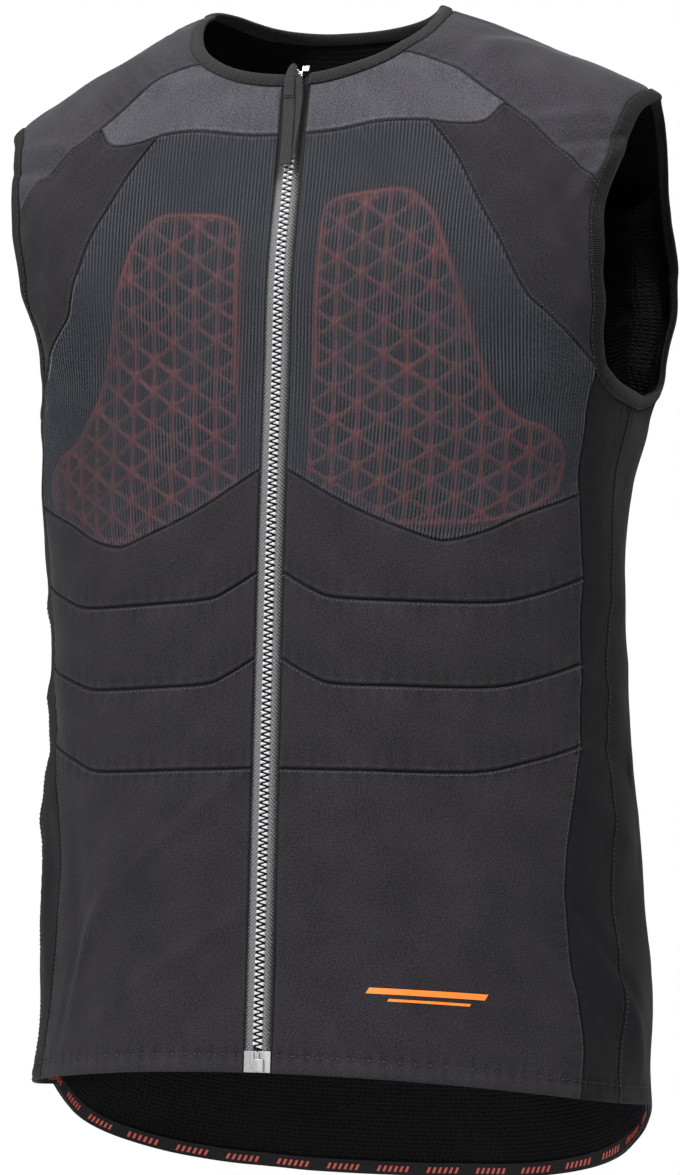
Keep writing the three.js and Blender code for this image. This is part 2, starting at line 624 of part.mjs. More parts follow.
function addLowerFronts() {
  const rows = fill(frontHem, sideOfLower, lowerSeam, zipRun(0, ZIP_SEAM.lower, LOWER_ROWS));
  addPair("lower_front", cloth(drawnIn(rows), 0, -CLOTH), "softshell");
}

// Panels of the side and back.
function addSidePanels() {
  const frontEdge = join(sideOfLower, sideOfLowerBand, sideOfMiddleBand, sideOfUpperBand, meshSide);
  const underarm = reversed(armholeRun(ARMHOLE_AT.flank, ARMHOLE_AT.meshFoot));
  const top = join([MESH_FOOT, armholeSeam[ARMHOLE_AT.meshFoot]], underarm);
  const flank = flankSeam(frontEdge.length - 1);
  const bottom = spread([SIDE_SEAM.hem, flank[0]], even(top.length - 1));
  addPair("side_front", cloth(drawnIn(fill(bottom, flank, top, frontEdge)), 0, -CLOTH), "stretch");
}

const sideBackTop = [armholeSeam[ARMHOLE_AT.flank], armholeSeam[0]]
  .concat(reversed(armholeRun(ARMHOLE_AT.backSide, ARMHOLE_AT.underarmAgain - 1)).map(otherSheet));
const sideBackRows = fill(
  spread([FLANK_SEAM[0], otherSheet(BACK_SIDE_SEAM[0])], even(sideBackTop.length - 1)),
  backSideSeam.map(otherSheet),
  sideBackTop,
  flankSeam(BACK_ROWS),
);
function addSideBacks() {
  addPair("side_back", cloth(drawnIn(sideBackRows), 0, -CLOTH), "stretch");
}

// A panel that crosses the centre line, from the rows of its left half.
const acrossCentre = (rows) => rows.map((row) => reversed(row.slice(1)).map(mirrored).concat(row));
const backEdge = join(backSideSeam, reversed(armholeRun(ARMHOLE_AT.backYoke, ARMHOLE_AT.backSide)));
const backRows = acrossCentre(fill(
  spread([[0, 2], BACK_SIDE_SEAM[0]], even(BACK_HALF_STEPS)),
  backEdge,
  backYokeSeam,
  even(backEdge.length - 1).map((t) => [0, 2 + (BACK_YOKE_SEAM[0][1] - 2) * t]),
));
function addBackPanel() {
  add("back_panel", cloth(drawnIn(backRows), 0, -CLOTH), "softshell");
}

// The shoulder yoke is one piece over both shoulders and behind the neck.
function addShoulderYoke() {
  const frontSeam = join(shoulderUpper, shoulderLower);
  const outer = join(armholeRun(ARMHOLE_AT.shoulder, ARMHOLE_AT.backYoke), reversed(backYokeSeam));
  const inner = neckBack(neckSeam);
  const centre = even(frontSeam.length - 1)
    .map((t) => [0, THREE.MathUtils.lerp(inner.at(-1)[1], BACK_YOKE_SEAM[0][1], t)]);
  const half = fill(frontSeam, outer, centre, inner);
  const rows = half.concat(reversed(half).slice(1).map((row) => row.map(mirrored)));
  add("shoulder_yoke", cloth(drawnIn(rows), 0, -CLOTH), "yoke");
}

// Bindings round the neck and armholes, standing proud along their middle.
const bindingFace = (j) => (j === 1 ? BINDING_STAND : BINDING_STAND / 2);
function bindingRows(edge, seam) {
  const middle = edge.map((point, i) => point.map((value, k) => (value + seam[i][k]) / 2));
  return [edge, middle, seam];
}
function addNeckBinding() {
  const ring = (oval) => {
    const half = join(neckFront(oval), neckBack(oval));
    return half.concat(reversed(half).slice(1).map(mirrored));
  };
  const rows = bindingRows(ring(neckEdge), ring(neckSeam));
  add("neck_binding", cloth(drawnIn(rows), bindingFace, -BINDING_BACK), "binding");
}
function addArmholeBindings() {
  const rows = bindingRows(armholeEdge, armholeSeam);
  addPair("armhole_binding", cloth(drawnIn(rows, true), bindingFace, -BINDING_BACK, true), "binding");
}

// The zip runs up the centre front.
const ZIP_STEPS = 14;
const zipStopTop = walk([0, 0], [0, 1], ZIP_STOP_HEIGHT)[1];
function strip(fromX, toX, low, high, steps, face, back) {
  const rows = even(steps).map((t) => {
    const along = low + (high - low) * t;
    return [fromX, toX].map((x) => [Math.sign(x) * acrossAt(Math.abs(x), along), along]);
  });
  return cloth(drawnIn(rows), face, back);
}
function addZip() {
  const steps = ZIP_STEPS;
  const top = neckEdge(0)[1];
  const tape = strip(TEETH_HALF_WIDTH, ZIP_HALF_WIDTH, zipStopTop, top, steps, 0, -CLOTH);
  const teeth = strip(GAP / 2, TEETH_HALF_WIDTH, zipStopTop, top, steps, TEETH_STAND, -CLOTH);
  addPair("zip_tape", tape, "tape");
  addPair("zip_teeth", teeth, "teeth");
  add("zip_stop", strip(-ZIP_HALF_WIDTH, ZIP_HALF_WIDTH, 0, zipStopTop, 1, TEETH_STAND, -CLOTH), "stop");
}

// The slider sits at the top of the zip with its cloth pull hanging from it. Its outline and crown
// are shares of its width and height, foot first, and its sides are lower than its middle.
const SLIDER_OUTLINE = [0.6, 1, 1];
const SLIDER_CROWN = [0.8, 1, 0.7];
const SLIDER_SIDES = 0.6;
const SLIDER_COLUMNS = [-1, -0.5, 0.5, 1];
function addSlider() {
  const top = neckEdge(0)[1];
  const floor = TEETH_STAND + GAP;
  const sliderFoot = walk([0, top], [0, -1], SLIDER_LENGTH)[1];
  const pullFoot = walk([0, sliderFoot], [0, -1], PULL_LENGTH)[1];
  const rows = SLIDER_OUTLINE.map((share, j) => {
    const along = THREE.MathUtils.lerp(sliderFoot, top, j / (SLIDER_OUTLINE.length - 1));
    const reach = acrossAt((share * SLIDER_WIDTH) / 2, along);
    return SLIDER_COLUMNS.map((column) => [column * reach, along]);
  });
  const lastColumn = SLIDER_COLUMNS.length - 1;
  const sides = (i) => (i === 0 || i === lastColumn ? SLIDER_SIDES : 1);
  const crown = (j, i) => floor + SLIDER_HEIGHT * SLIDER_CROWN[j] * sides(i);
  add("zip_slider", cloth(drawnIn(rows), crown, floor), "slider");
  const under = floor + GAP;
  const pull = strip(-PULL_WIDTH / 2, PULL_WIDTH / 2, pullFoot, sliderFoot, 4, under + PULL_THICK, under);
  add("zip_pull", pull, "binding");
}

// The share across that lies a length round the chest from the centre.
const CHEST_STEPS = 12;
function acrossByLength(length, along) {
  return solve((across) => clothLength([0, along], [across, along], CHEST_STEPS), length, 0, 0.95);
}

// A chest protector is a plate bent round the chest and pierced by triangular holes.
function padRows() {
  const onChest = ([out, up]) => {
    const along = PAD_BOTTOM + (up * PAD_HEIGHT) / FRONT_LENGTH;
    return [acrossByLength(PAD_FROM_CENTRE + out * PAD_WIDTH, along), along];
  };
  const withRim = (count, length) => {
    const rim = PAD_RIM / length;
    return [0, ...even(count).map((t) => rim + (1 - 2 * rim) * t), 1];
  };
  const columns = withRim(PAD_COLUMNS, PAD_WIDTH);
  const rows = withRim(PAD_ROWS, PAD_HEIGHT);
  return fill(
    spread(PAD_BOTTOM_EDGE.map(onChest), columns),
    spread(PAD_OUTER_EDGE.map(onChest), rows),
    spread(PAD_TOP_EDGE.map(onChest), columns),
    spread([PAD_BOTTOM_EDGE[0], PAD_TOP_EDGE[0]].map(onChest), rows),
  );
}

// The two triangular holes of one square, as [row, column] corners, slanting in turn.
function padTriangles(j, i) {
  if (j === 0 || i === 0 || j > PAD_ROWS || i > PAD_COLUMNS) return [];
  const [a, b, c, d] = [[j, i], [j, i + 1], [j + 1, i + 1], [j + 1, i]];
  return (i + j) % 2 === 0 ? [[a, b, c], [a, c, d]] : [[a, b, d], [b, c, d]];
}

function addChestPads() {
  const rows = padRows();
  const face = -CLOTH - GAP - FACET_ROOM;
  const square = (PAD_WIDTH + PAD_HEIGHT) / (PAD_COLUMNS + PAD_ROWS);
  const size = 1 - (RIBS_BY_HOLE * PAD_RIB) / square;
  const holes = (j, i) => padTriangles(j, i).map((corners) => {
    const points = corners.map(([row, column]) => rows[row][column]);
    const centre = [0, 1].map((k) => (points[0][k] + points[1][k] + points[2][k]) / 3);
    const shrunk = points.map((point) => point.map((value, k) => centre[k] + (value - centre[k]) * size));
    const at = (height) => shrunk.map((point) => place(point, height));
    return { corners, outer: at(face), inner: at(face - PAD_THICK) };
  });
  addPair("chest_protector", cloth(rows, face, face - PAD_THICK, false, holes), "pad");
}

// The pocket lining follows the mesh and the band below it, and bellies in behind the pad.
function addPocketLinings() {
  const rows = join(upperBandRows, meshRows);
  const shut = -CLOTH - GAP;
  const belly = shut - FACET_ROOM - PAD_THICK - POCKET_ROOM;
  const face = (j, i) => (onBorder(rows, j, i) ? shut : belly);
  addPair("pocket_lining", cloth(drawnIn(rows), face, (j, i) => face(j, i) - LINING), "lining");
}

// The back protector and its lining cover part of the back panel's own grid.
const BACK_PAD_PART = { rows: [4, -3], columns: [2, -2] };
const BACK_LINING_PART = { rows: [3, -2], columns: [1, -1] };
const gridPart = ({ rows, columns }) => backRows.slice(...rows).map((row) => row.slice(...columns));
function addBackProtector() {
  const padGrid = gridPart(BACK_PAD_PART);
  const face = -CLOTH - GAP;
  const padBack = (j, i) => face - BACK_PAD_THICK * (onBorder(padGrid, j, i) ? BACK_PAD_EDGE : 1);
  add("back_protector", cloth(drawnIn(padGrid), face, padBack), "pad");
  const liningGrid = gridPart(BACK_LINING_PART);
  const liningFace = (j, i) => (onBorder(liningGrid, j, i) ? face : face - BACK_PAD_THICK - GAP);
  add("back_lining", cloth(drawnIn(liningGrid), liningFace, (j, i) => liningFace(j, i) - LINING), "lining");
}

// The tape inside the hem of the tail.
function addTailTape() {
  const sideHem = sideBackRows[0].slice(0, -1).map(otherSheet);
  const low = sideHem.map(mirrored).concat(backRows[0], reversed(sideHem));
  const high = low.map((point) => walk(point, [0, -1], HEM_TAPE_HEIGHT));
  const face = -CLOTH - GAP - FACET_ROOM;
  add("tail_hem_tape", cloth(drawnIn([low, high]), face, face - LINING), "binding");
}

addYokes();
addArmholePanels();
addChestMesh();
addBands();
addLowerFronts();
addSidePanels();
addSideBacks();
addBackPanel();
addShoulderYoke();
addNeckBinding();
addArmholeBindings();
addZip();
addSlider();
addChestPads();
addPocketLinings();
addBackProtector();
addTailTape();

export default group;
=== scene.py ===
"""A sleeveless zip-front vest with chest protectors behind mesh and a back protector.

Sizes are in millimetres until a mesh is made. The wearer faces -Y and +X is the wearer's left.
"""
import math

import bmesh
import bpy
import numpy as np
from mathutils import Matrix, Vector


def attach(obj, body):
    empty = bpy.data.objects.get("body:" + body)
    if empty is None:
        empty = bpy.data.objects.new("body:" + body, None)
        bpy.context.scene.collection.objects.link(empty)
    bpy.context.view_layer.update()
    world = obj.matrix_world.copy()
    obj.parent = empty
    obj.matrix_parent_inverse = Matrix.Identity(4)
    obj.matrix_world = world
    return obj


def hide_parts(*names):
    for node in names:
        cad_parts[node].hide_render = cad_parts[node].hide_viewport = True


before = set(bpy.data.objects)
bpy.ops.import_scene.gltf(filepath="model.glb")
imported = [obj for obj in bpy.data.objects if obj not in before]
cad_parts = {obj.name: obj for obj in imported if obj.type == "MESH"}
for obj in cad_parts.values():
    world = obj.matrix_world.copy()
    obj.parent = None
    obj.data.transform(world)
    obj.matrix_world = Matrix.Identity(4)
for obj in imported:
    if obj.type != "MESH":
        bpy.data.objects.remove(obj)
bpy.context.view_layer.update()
MM = 0.001
random = np.random.default_rng(11)

# Sizes of the vest, as its solids have them.
FRONT_LENGTH = 621
SIDE_LENGTH = 652
TAIL_LENGTH = 718
HALF_WIDTH = 180
FRONT_DEPTH = 100
BACK_DEPTH = 100
NECK_HALF_WIDTH = 72
NECK_FRONT_DROP = 47
NECK_BACK_DROP = 5
NECK_BINDING = 8
SHOULDER_TIP = 218
ARMHOLE_DROP = 240
ARMHOLE_BINDING = 9
CLOTH = 1.5
ZIP_HALF_WIDTH = 8
ZIP_STOP_HEIGHT = 12.5
SLIDER_LENGTH = 11
SLIDER_WIDTH = 8.6
SLIDER_HEIGHT = 4.2
PULL_LENGTH = 49
PULL_WIDTH = 7
PAD_THICK = 8
PAD_DEPTH = 3  # from the cloth's face in to a chest protector
PAD_WIDTH = 157
PAD_HEIGHT = 176
PAD_FROM_CENTRE = 19
PAD_BOTTOM = 0.503
POCKET_ROOM = 3
LINING = 1
BACK_PAD_THICK = 14

# Sections of the closed shell, from the front hem at 0 over the shoulder ridge at 1 to the tail at 2.
SECTIONS = np.array([
    # along, depth, drop, corner reach, flank reach, flank depth, flank drop
    [0.0, -1.4, 1.0, 0.68, 1.045, -0.9, 0.982],
    [0.23, -1.24, 0.781, 0.62, 1.01, -0.78, 0.755],
    [0.36, -1.15, 0.652, 0.59, 0.99, -0.7, 0.629],
    [0.47, -1.07, 0.539, 0.6, 0.99, -0.68, 0.521],
    [0.565, -0.99, 0.443, 0.655, 1.005, -0.7, 0.4325],
    [0.64, -0.92, 0.362, 0.71, 1.04, -0.8, 0.35],
    [0.725, -0.84, 0.266, 0.75, 1.09, -0.95, 0.255],
    [0.805, -0.66, 0.169, 0.61, 1.1, -0.84, 0.166],
    [0.87, -0.53, 0.097, 0.445, 1.055, -0.6, 0.12],
    [0.935, -0.36, 0.035, 0.33, 1.0, -0.34, 0.077],
    [1.0, 0.08, -0.019, 0.33, 0.985, 0.08, 0.055],
    [1.065, 0.58, 0.003, 0.39, 1.03, 0.48, 0.077],
    [1.13, 0.76, 0.049, 0.5, 1.11, 0.74, 0.12],
    [1.195, 0.9, 0.111, 0.61, 1.18, 0.96, 0.166],
    [1.275, 1.03, 0.195, 0.72, 1.2, 1.14, 0.253],
    [1.36, 1.08, 0.279, 0.72, 1.11, 1.04, 0.35],
    [1.53, 0.98, 0.46, 0.58, 0.99, 0.64, 0.521],
    [1.64, 0.88, 0.564, 0.57, 0.99, 0.58, 0.632],
    [1.77, 0.9, 0.696, 0.59, 1.01, 0.62, 0.762],
    [2.0, 1.08, 1.0, 0.655, 1.045, 0.74, 1.08],
])
SIDE_LINE = np.array([
    # along, reach, depth, drop
    [0.0, 1.045, 0.0, 1.0],
    [0.23, 1.01, 0.0, 0.759],
    [0.36, 0.99, 0.0, 0.632],
    [0.47, 0.99, 0.02, 0.5245],
    [0.565, 1.005, 0.04, 0.4325],
    [0.64, 1.04, 0.06, 0.35],
    [0.725, 1.095, 0.08, 0.258],
    [0.805, 1.155, 0.08, 0.19],
    [0.87, 1.2, 0.08, 0.15],
    [0.935, 1.225, 0.08, 0.128],
    [1.0, 1.235, 0.08, 0.12],
])
ARMHOLE_REACH = 0.29
ARMHOLE = np.array([
    # up, front cut, back cut
    [0.0, 0.0, 0.0],
    [0.015, 0.5, 0.36],
    [0.04, 0.8, 0.58],
    [0.09, 0.94, 0.7],
    [0.2, 0.97, 0.76],
    [0.31, 0.93, 0.76],
    [0.42, 0.76, 0.66],
    [0.52, 0.57, 0.52],
    [0.62, 0.43, 0.37],
    [0.73, 0.29, 0.26],
    [0.885, 0.08, 0.12],
    [1.0, 0.0, 0.0],
])

# Folds of the worn cloth. Side is 0 on both sides, 1 on the wearer's left and -1 on the right.
FOLDS = [
    # across, along, turn from level, length, width, depth, side
    (0.7, 0.075, -52, 61, 16, -3.9, 1),
    (0.82, 0.1, -58, 54, 18, 3.6, 1),
    (0.16, 0.13, 62, 54, 25, -2.1, 0),
    (0.36, 0.12, 78, 65, 29, 1.8, 0),
]
WRINKLES = [
    (0.3, 1.0, 0, 34, 34, 1.0, 0),
    (0.3, 1.0, 0, 30, 30, 3.0, -1),
    (0.52, 0.99, 0, 62, 44, -5.0, 1),
    (0.0, 1.2, 0, 90, 12, 2.0, 0),
    (0.6, 0.11, -50, 42, 5, 2.6, 1),
    (0.76, 0.135, -54, 38, 5, -2.4, 1),
    (0.88, 0.06, -64, 30, 5, 2.4, 1),
    (0.25, 0.06, 70, 40, 10, 1.9, -1),
    (0.5, 0.16, 82, 60, 12, -1.9, -1),
    (0.2, 0.2, 66, 46, 12, 1.8, -1),
    (0.8, 0.2, 80, 60, 12, 2.2, -1),
    (0.45, 0.045, 84, 30, 12, -1.8, 1),
    (0.15, 0.22, 78, 50, 12, 1.5, 1),
    (0.62, 0.86, 30, 26, 5, 2.8, 0),
    (0.66, 0.835, 26, 26, 4, -2.6, 0),
    (0.56, 0.79, 62, 34, 4.5, 2.4, -1),
    (0.6, 0.76, 58, 34, 4.5, -2.2, -1),
    (0.66, 0.72, 64, 36, 7, 1.9, 0),
    (0.85, 0.36, -20, 34, 7, 1.9, 0),
    (0.9, 0.3, -28, 38, 8, -1.9, 0),
    (0.86, 0.24, -35, 36, 8, 1.9, 0),
    (0.93, 0.44, -12, 30, 7, 1.9, 0),
    (0.3, 0.9, 8, 34, 7, 1.1, 0),
    (0.44, 0.95, 30, 30, 8, 1.5, 0),
    (0.2, 1.3, 4, 70, 14, 2.2, 1),
    (0.1, 1.5, -6, 80, 13, -2.4, -1),
    (0.4, 1.58, 14, 70, 12, 2.6, 0),
    (0.22, 0.215, -52, 62, 4.6, 2.6, -1),
    (0.27, 0.2, -54, 58, 5.5, -2.2, -1),
    (0.42, 0.13, -62, 48, 6.5, 2.6, -1),
    (0.16, 0.11, -48, 46, 5, 1.8, -1),
    (0.52, 0.08, -70, 34, 5, -2, -1),
    (0.72, 0.81, 50, 36, 4.5, 2.2, 1),
    (0.62, 0.79, 56, 30, 4.5, -2.0, 1),
    (0.5, 0.95, 62, 24, 7, 2.4, 1),
    (0.4, 0.93, 66, 26, 6, -2, 1),
    (0.3, 1.66, 8, 70, 12, -2.6, 0),
    (0.6, 1.8, 66, 60, 14, 3, 0),
    (0.25, 1.88, 78, 56, 16, -2.6, 0),
]

# Seams of one side as shares [across, along].
YOKE_SEAM = [[0.1, 0.836], [0.21, 0.843]]
YOKE_CORNER = [0.305, 0.844]
YOKE_WING = [[0.36, 0.841], [0.43, 0.845]]
YOKE_TIP = [0.49, 0.869]
SHOULDER_SEAM_UPPER = [[0.37, 0.912], [0.43, 0.893]]
SHOULDER_SEAM_LOWER = [[0.53, 0.851], [0.588, 0.825]]
MESH_OUTER = [[0.34, 0.812], [0.375, 0.77], [0.45, 0.705], [0.52, 0.682]]
MESH_FOOT = [0.7, 0.641]
MESH_BOTTOM = [
    [0.12, 0.527], [0.21, 0.508], [0.315, 0.492], [0.365, 0.49], [0.45, 0.499], [0.56, 0.517],
]
BAND_SEAM_UPPER = [[0.08, 0.446], [0.13, 0.438], [0.27, 0.435], [0.47, 0.435], [0.585, 0.442]]
BAND_SEAM_MIDDLE = [[0.08, 0.37], [0.13, 0.362], [0.27, 0.36], [0.45, 0.36], [0.56, 0.366]]
BAND_SEAM_LOWER = [[0.16, 0.284], [0.42, 0.284], [0.57, 0.295]]
ZIP_SEAM = {"mesh": 0.555, "upper": 0.461, "middle": 0.385, "lower": 0.285, "yoke": 0.834}
SIDE_HEM = [0.68, 0.0]
SIDE_LOWER = [[0.68, 0.05], [0.652, 0.115], [0.652, 0.19], [0.69, 0.26]]
SIDE_AT_LOWER = [0.735, 0.31]
SIDE_AT_MIDDLE = [0.757, 0.384]
SIDE_AT_UPPER = [0.757, 0.46]
SIDE_AT_MESH = [0.737, 0.538]
FLANK_SEAM = [[0.83, 0.0], [0.82, 0.1], [0.85, 0.24], [0.88, 0.4]]
BACK_SIDE_SEAM = [[0.72, 2.0], [0.7, 1.8], [0.7, 1.6]]
BACK_YOKE_SEAM = [[0.0, 1.165], [0.3, 1.16], [0.55, 1.15]]
NECK_SHOULDER_ANGLE = math.radians(52)
ARMHOLE_STEPS = 36
# Where seams meet the armhole, counted in its steps from the underarm.
AT_FLANK = 1
AT_MESH_FOOT = 3
AT_SHOULDER = 12
AT_BACK_YOKE = 22
AT_BACK_SIDE = 32


def place_camera():
    """The camera looks at the vest from the wearer's left, level and a little rolled."""
    azimuth = math.radians(19)
    distance = 2000 * MM
    focal_pixels = 2000 / 0.6
    roll = 0.014
    aside = Vector((math.cos(azimuth), math.sin(azimuth), 0))
    ahead = Vector((-math.sin(azimuth), math.cos(azimuth), 0))
    up = Vector((0, 0, 1))
    right = aside * math.cos(roll) - up * math.sin(roll)
    top = aside * math.sin(roll) + up * math.cos(roll)
    aim = (ahead + right * (8 / focal_pixels) + top * (30.5 / focal_pixels)).normalized()
    right = (right - aim * right.dot(aim)).normalized()
    top = right.cross(aim)
    turn = Matrix((right, top, -aim)).transposed().to_4x4()
    data = bpy.data.cameras.new("camera")
    data.sensor_width = 36
    data.lens = focal_pixels / 1175 * data.sensor_width
    data.clip_start = 0.05
    data.clip_end = 60
    camera = bpy.data.objects.new("camera", data)
    camera.matrix_world = Matrix.Translation(ahead * -distance + Vector((0, 0, -0.367))) @ turn
    bpy.context.scene.collection.objects.link(camera)
    bpy.context.scene.camera = camera


def read_table(table, station, level_end=False):
    """Values of a table at stations, on smooth curves through its rows."""
    keys = table[:, 0]
    values = table[:, 1:]
    steps = np.diff(keys)[:, None]
    rises = np.diff(values, axis=0) / steps
    slope = np.empty_like(values)
    slope[1:-1] = (rises[:-1] * steps[1:] + rises[1:] * steps[:-1]) / (steps[:-1] + steps[1:])
    slope[0] = rises[0]
    slope[-1] = 0 if level_end else rises[-1]
    x = np.clip(station, keys[0], keys[-1])
    i = np.clip(np.searchsorted(keys, x, side="right") - 1, 0, len(keys) - 2)
    step = steps[i]
    t = ((x - keys[i]) / steps[i][..., 0])[..., None]
    return (values[i] * (2 * t**3 - 3 * t**2 + 1) + slope[i] * step * (t**3 - 2 * t**2 + t)
            + values[i + 1] * (3 * t**2 - 2 * t**3) + slope[i + 1] * step * (t**3 - t**2))


# How far the worn vest leans to the wearer's left at each height.
LEAN = np.array([
    # height, sideways
    [-735, -9], [-690, -7], [-650, 1], [-590, 6], [-520, 3], [-440, 2], [-360, 0], [-290, 0],
    [-255, 3], [-222, 9], [-195, 10], [-165, 6], [-130, 1], [-90, 0],
])
DRAWN = 0.085  # share that the wearer's right side is drawn round to the front


def smooth_step(value):
    value = np.clip(value, 0, 1)
    return value * value * (3 - 2 * value)


def folded(points):
    """Shares across and along, those past the side line read on the other sheet."""
    across = np.abs(points[..., 0])
    over = across > 1
    along = np.where(over, 2 - points[..., 1], points[..., 1])
    return np.where(over, 2 - across, across), along


def drawn_round(across, along):
    """How far the cloth low on the right side is drawn to the front, in shares."""
    wide = smooth_step((across - 0.35) / 0.35) * smooth_step((1 - across) / 0.2)
    high = smooth_step((0.62 - along) / 0.12) * (0.4 + 0.6 * smooth_step((0.5 - along) / 0.2))
    return DRAWN * wide * high


def shell(points):
    """Points of the shell. Across is 0 at the centre and 1 at the side, below 0 mirrored."""
    points = np.asarray(points, float)
    side = np.where(points[..., 0] < 0, -1.0, 1.0)
    across, along = folded(points)
    across = across - np.where(side < 0, drawn_round(across, along), 0)
    row = read_table(SECTIONS, along)
    edge = read_table(SIDE_LINE, 1 - np.abs(1 - along), True)

    def in_depth(share):
        return share * np.where(share < 0, FRONT_DEPTH, BACK_DEPTH)

    depth = in_depth(row[..., 0])
    height = -row[..., 1] * np.where(along < 1, FRONT_LENGTH, TAIL_LENGTH)
    centre = np.stack([0 * depth, depth, height], -1)
    corner = np.stack([row[..., 2] * HALF_WIDTH, depth, height], -1)

    def at_side(reach, share, drop):
        return np.stack([reach * HALF_WIDTH, in_depth(share), -drop * SIDE_LENGTH], -1)

    flank = at_side(row[..., 3], row[..., 4], row[..., 5])
    rim = at_side(edge[..., 0], edge[..., 1], edge[..., 2])
    u = across[..., None]
    v = 1 - u
    place = v**3 * centre + 3 * v * v * u * corner + 3 * v * u * u * flank + u**3 * rim
    place[..., 0] *= side
    place[..., 0] += read_table(LEAN, place[..., 2])[..., 0] * smooth_step((across - 0.1) / 0.6)
    return place


SLOPE_STEP = 0.003


def slopes(points):
    """Slopes of the shell across and along."""
    points = np.asarray(points, float)
    level = np.stack([points[..., 0], np.clip(points[..., 1], SLOPE_STEP, 2 - SLOPE_STEP)], -1)
    across = shell(level + [SLOPE_STEP, 0]) - shell(level - [SLOPE_STEP, 0])
    along = shell(level + [0, SLOPE_STEP]) - shell(level - [0, SLOPE_STEP])
    return across / (2 * SLOPE_STEP), along / (2 * SLOPE_STEP)


def unit(vectors):
    return vectors / np.maximum(np.linalg.norm(vectors, axis=-1, keepdims=True), 1e-9)


def normals(points):
    across, along = slopes(points)
    return unit(np.cross(across, along))


def waves(count, wavelength):
    """Directions and phases of a smooth noise that is the sum of many waves."""
    directions = unit(random.normal(size=(count, 3))) * (2 * math.pi / wavelength)
    return directions, random.uniform(0, 6.28, count)


BROAD = waves(9, 95)
MIDDLE = waves(9, 34)
SMALL = waves(9, 13)
UNEVEN = ((1.0, BROAD), (0.4, MIDDLE), (0.05, SMALL))
ZIP_HOLDS = 40  # distance from the centre within which the zip keeps the cloth even


def noise(place, layer):
    directions, phases = layer
    return np.sin(place @ directions.T + phases).sum(-1) / math.sqrt(len(phases))


def relief(points):
    """How far folds, wrinkles and unevenness lift the cloth."""
    points = np.asarray(points, float)
    across, along = folded(points)
    side = np.sign(points[..., 0])
    lift = np.zeros(across.shape)
    for fold_across, fold_along, turn, length, width, depth, only in FOLDS + WRINKLES:
        x = (across - fold_across) * HALF_WIDTH
        z = (along - fold_along) * FRONT_LENGTH
        angle = math.radians(turn)
        ahead = (x * math.cos(angle) + z * math.sin(angle)) / length
        aside = (z * math.cos(angle) - x * math.sin(angle)) / width
        worn = 1.0 if only == 0 else np.clip(0.5 + side * only, 0, 1)
        lift += depth * worn * np.exp(-(ahead**2) - aside**2)
    place = shell(points)
    uneven = sum(weight * noise(place, layer) for weight, layer in UNEVEN)
    return lift + uneven * smooth_step(across * HALF_WIDTH / ZIP_HOLDS)


# A line on the cloth is a pair of arrays: its shares of length, and its points in shares.
def by_length(samples):
    """A line through samples, read by its length on the cloth."""
    samples = np.asarray(samples, float)
    steps = np.linalg.norm(np.diff(shell(samples), axis=0), axis=1)
    reached = np.concatenate([[0], np.cumsum(steps)])
    return reached / reached[-1], samples


def arc(points, count):
    """A smooth path through a few points."""
    points = np.asarray(points, float)
    spans = len(points) - 1
    t = np.linspace(0, spans, count)
    i = np.minimum(t.astype(int), spans - 1)
    w = (t - i)[:, None]
    before, here = points[np.maximum(i - 1, 0)], points[i]
    after, beyond = points[i + 1], points[np.minimum(i + 2, spans)]
    start, end = (after - before) / 2, (beyond - here) / 2
    return ((2 * here - 2 * after + start + end) * w**3 + (3 * after - 3 * here - 2 * start - end) * w**2
            + start * w + here)


def spline(*points):
    """The smooth line through points."""
    return by_length(arc(points, 24 * (len(points) - 1) + 1))


def level_line(low, high, along, count=200):
    """A line across the cloth at one share along it."""
    return by_length(np.stack([np.linspace(low, high, count), np.full(count, along)], -1))


def chain(*runs):
    """One line from several, each with its share of the count."""
    total = sum(weight for _, weight in runs)
    shares, points, base = [], [], 0
    for (t, p), weight in runs:
        shares.append(base / total + t * weight / total)
        points.append(p)
        base += weight
    return np.concatenate(shares), np.concatenate(points)


def flip(line):
    return 1 - line[0][::-1], line[1][::-1]


def read(line, t):
    return np.stack([np.interp(t, line[0], line[1][:, k]) for k in (0, 1)], -1)


def other_sheet(line):
    return line[0], 2 - line[1]


def solve(measure, target, low, high):
    """The share at which a rising measure reaches its target."""
    low, high = np.broadcast_arrays(np.array(low, float), np.array(high, float))
    low, high = low.copy(), high.copy()
    for _ in range(40):
        middle = (low + high) / 2
        short = measure(middle) < target
        low = np.where(short, middle, low)
        high = np.where(short, high, middle)
    return (low + high) / 2


def across_at(x, along):
    """The share across that lies x to the side."""
    along = np.asarray(along, float)

    def sideways(across):
        return shell(np.stack([across, along], -1))[..., 0]

    return solve(sideways, x, 0 * along, 0 * along + 0.9)


def walk(start, way, length):
    """The point reached by walking a length over the cloth."""
    start, way = np.asarray(start, float), np.asarray(way, float)
    t = np.linspace(0, 0.3, 600)[:, None]
    path = start + t * way
    reached = np.concatenate([[0], np.cumsum(np.linalg.norm(np.diff(shell(path), axis=0), axis=1))])
    return start + way * np.interp(length, reached, t[:, 0])


def beside(line_points, amount, closed=False):
    """Points moved sideways over the cloth, to the right of their way for a positive amount."""
    place = shell(line_points)
    if closed:
        ahead = np.roll(place, -1, 0) - np.roll(place, 1, 0)
    else:
        ahead = np.gradient(place, axis=0)
    out = unit(np.cross(ahead, normals(line_points))) * np.asarray(amount, float).reshape(-1, 1)
    across, along = slopes(line_points)
    aa, al, ll = (across**2).sum(-1), (across * along).sum(-1), (along**2).sum(-1)
    a, l = (out * across).sum(-1), (out * along).sum(-1)
    area = aa * ll - al * al
    return line_points + np.stack([(a * ll - l * al) / area, (l * aa - a * al) / area], -1)


def centre_height(along):
    return shell(np.stack([0 * along, along], -1))[..., 2]


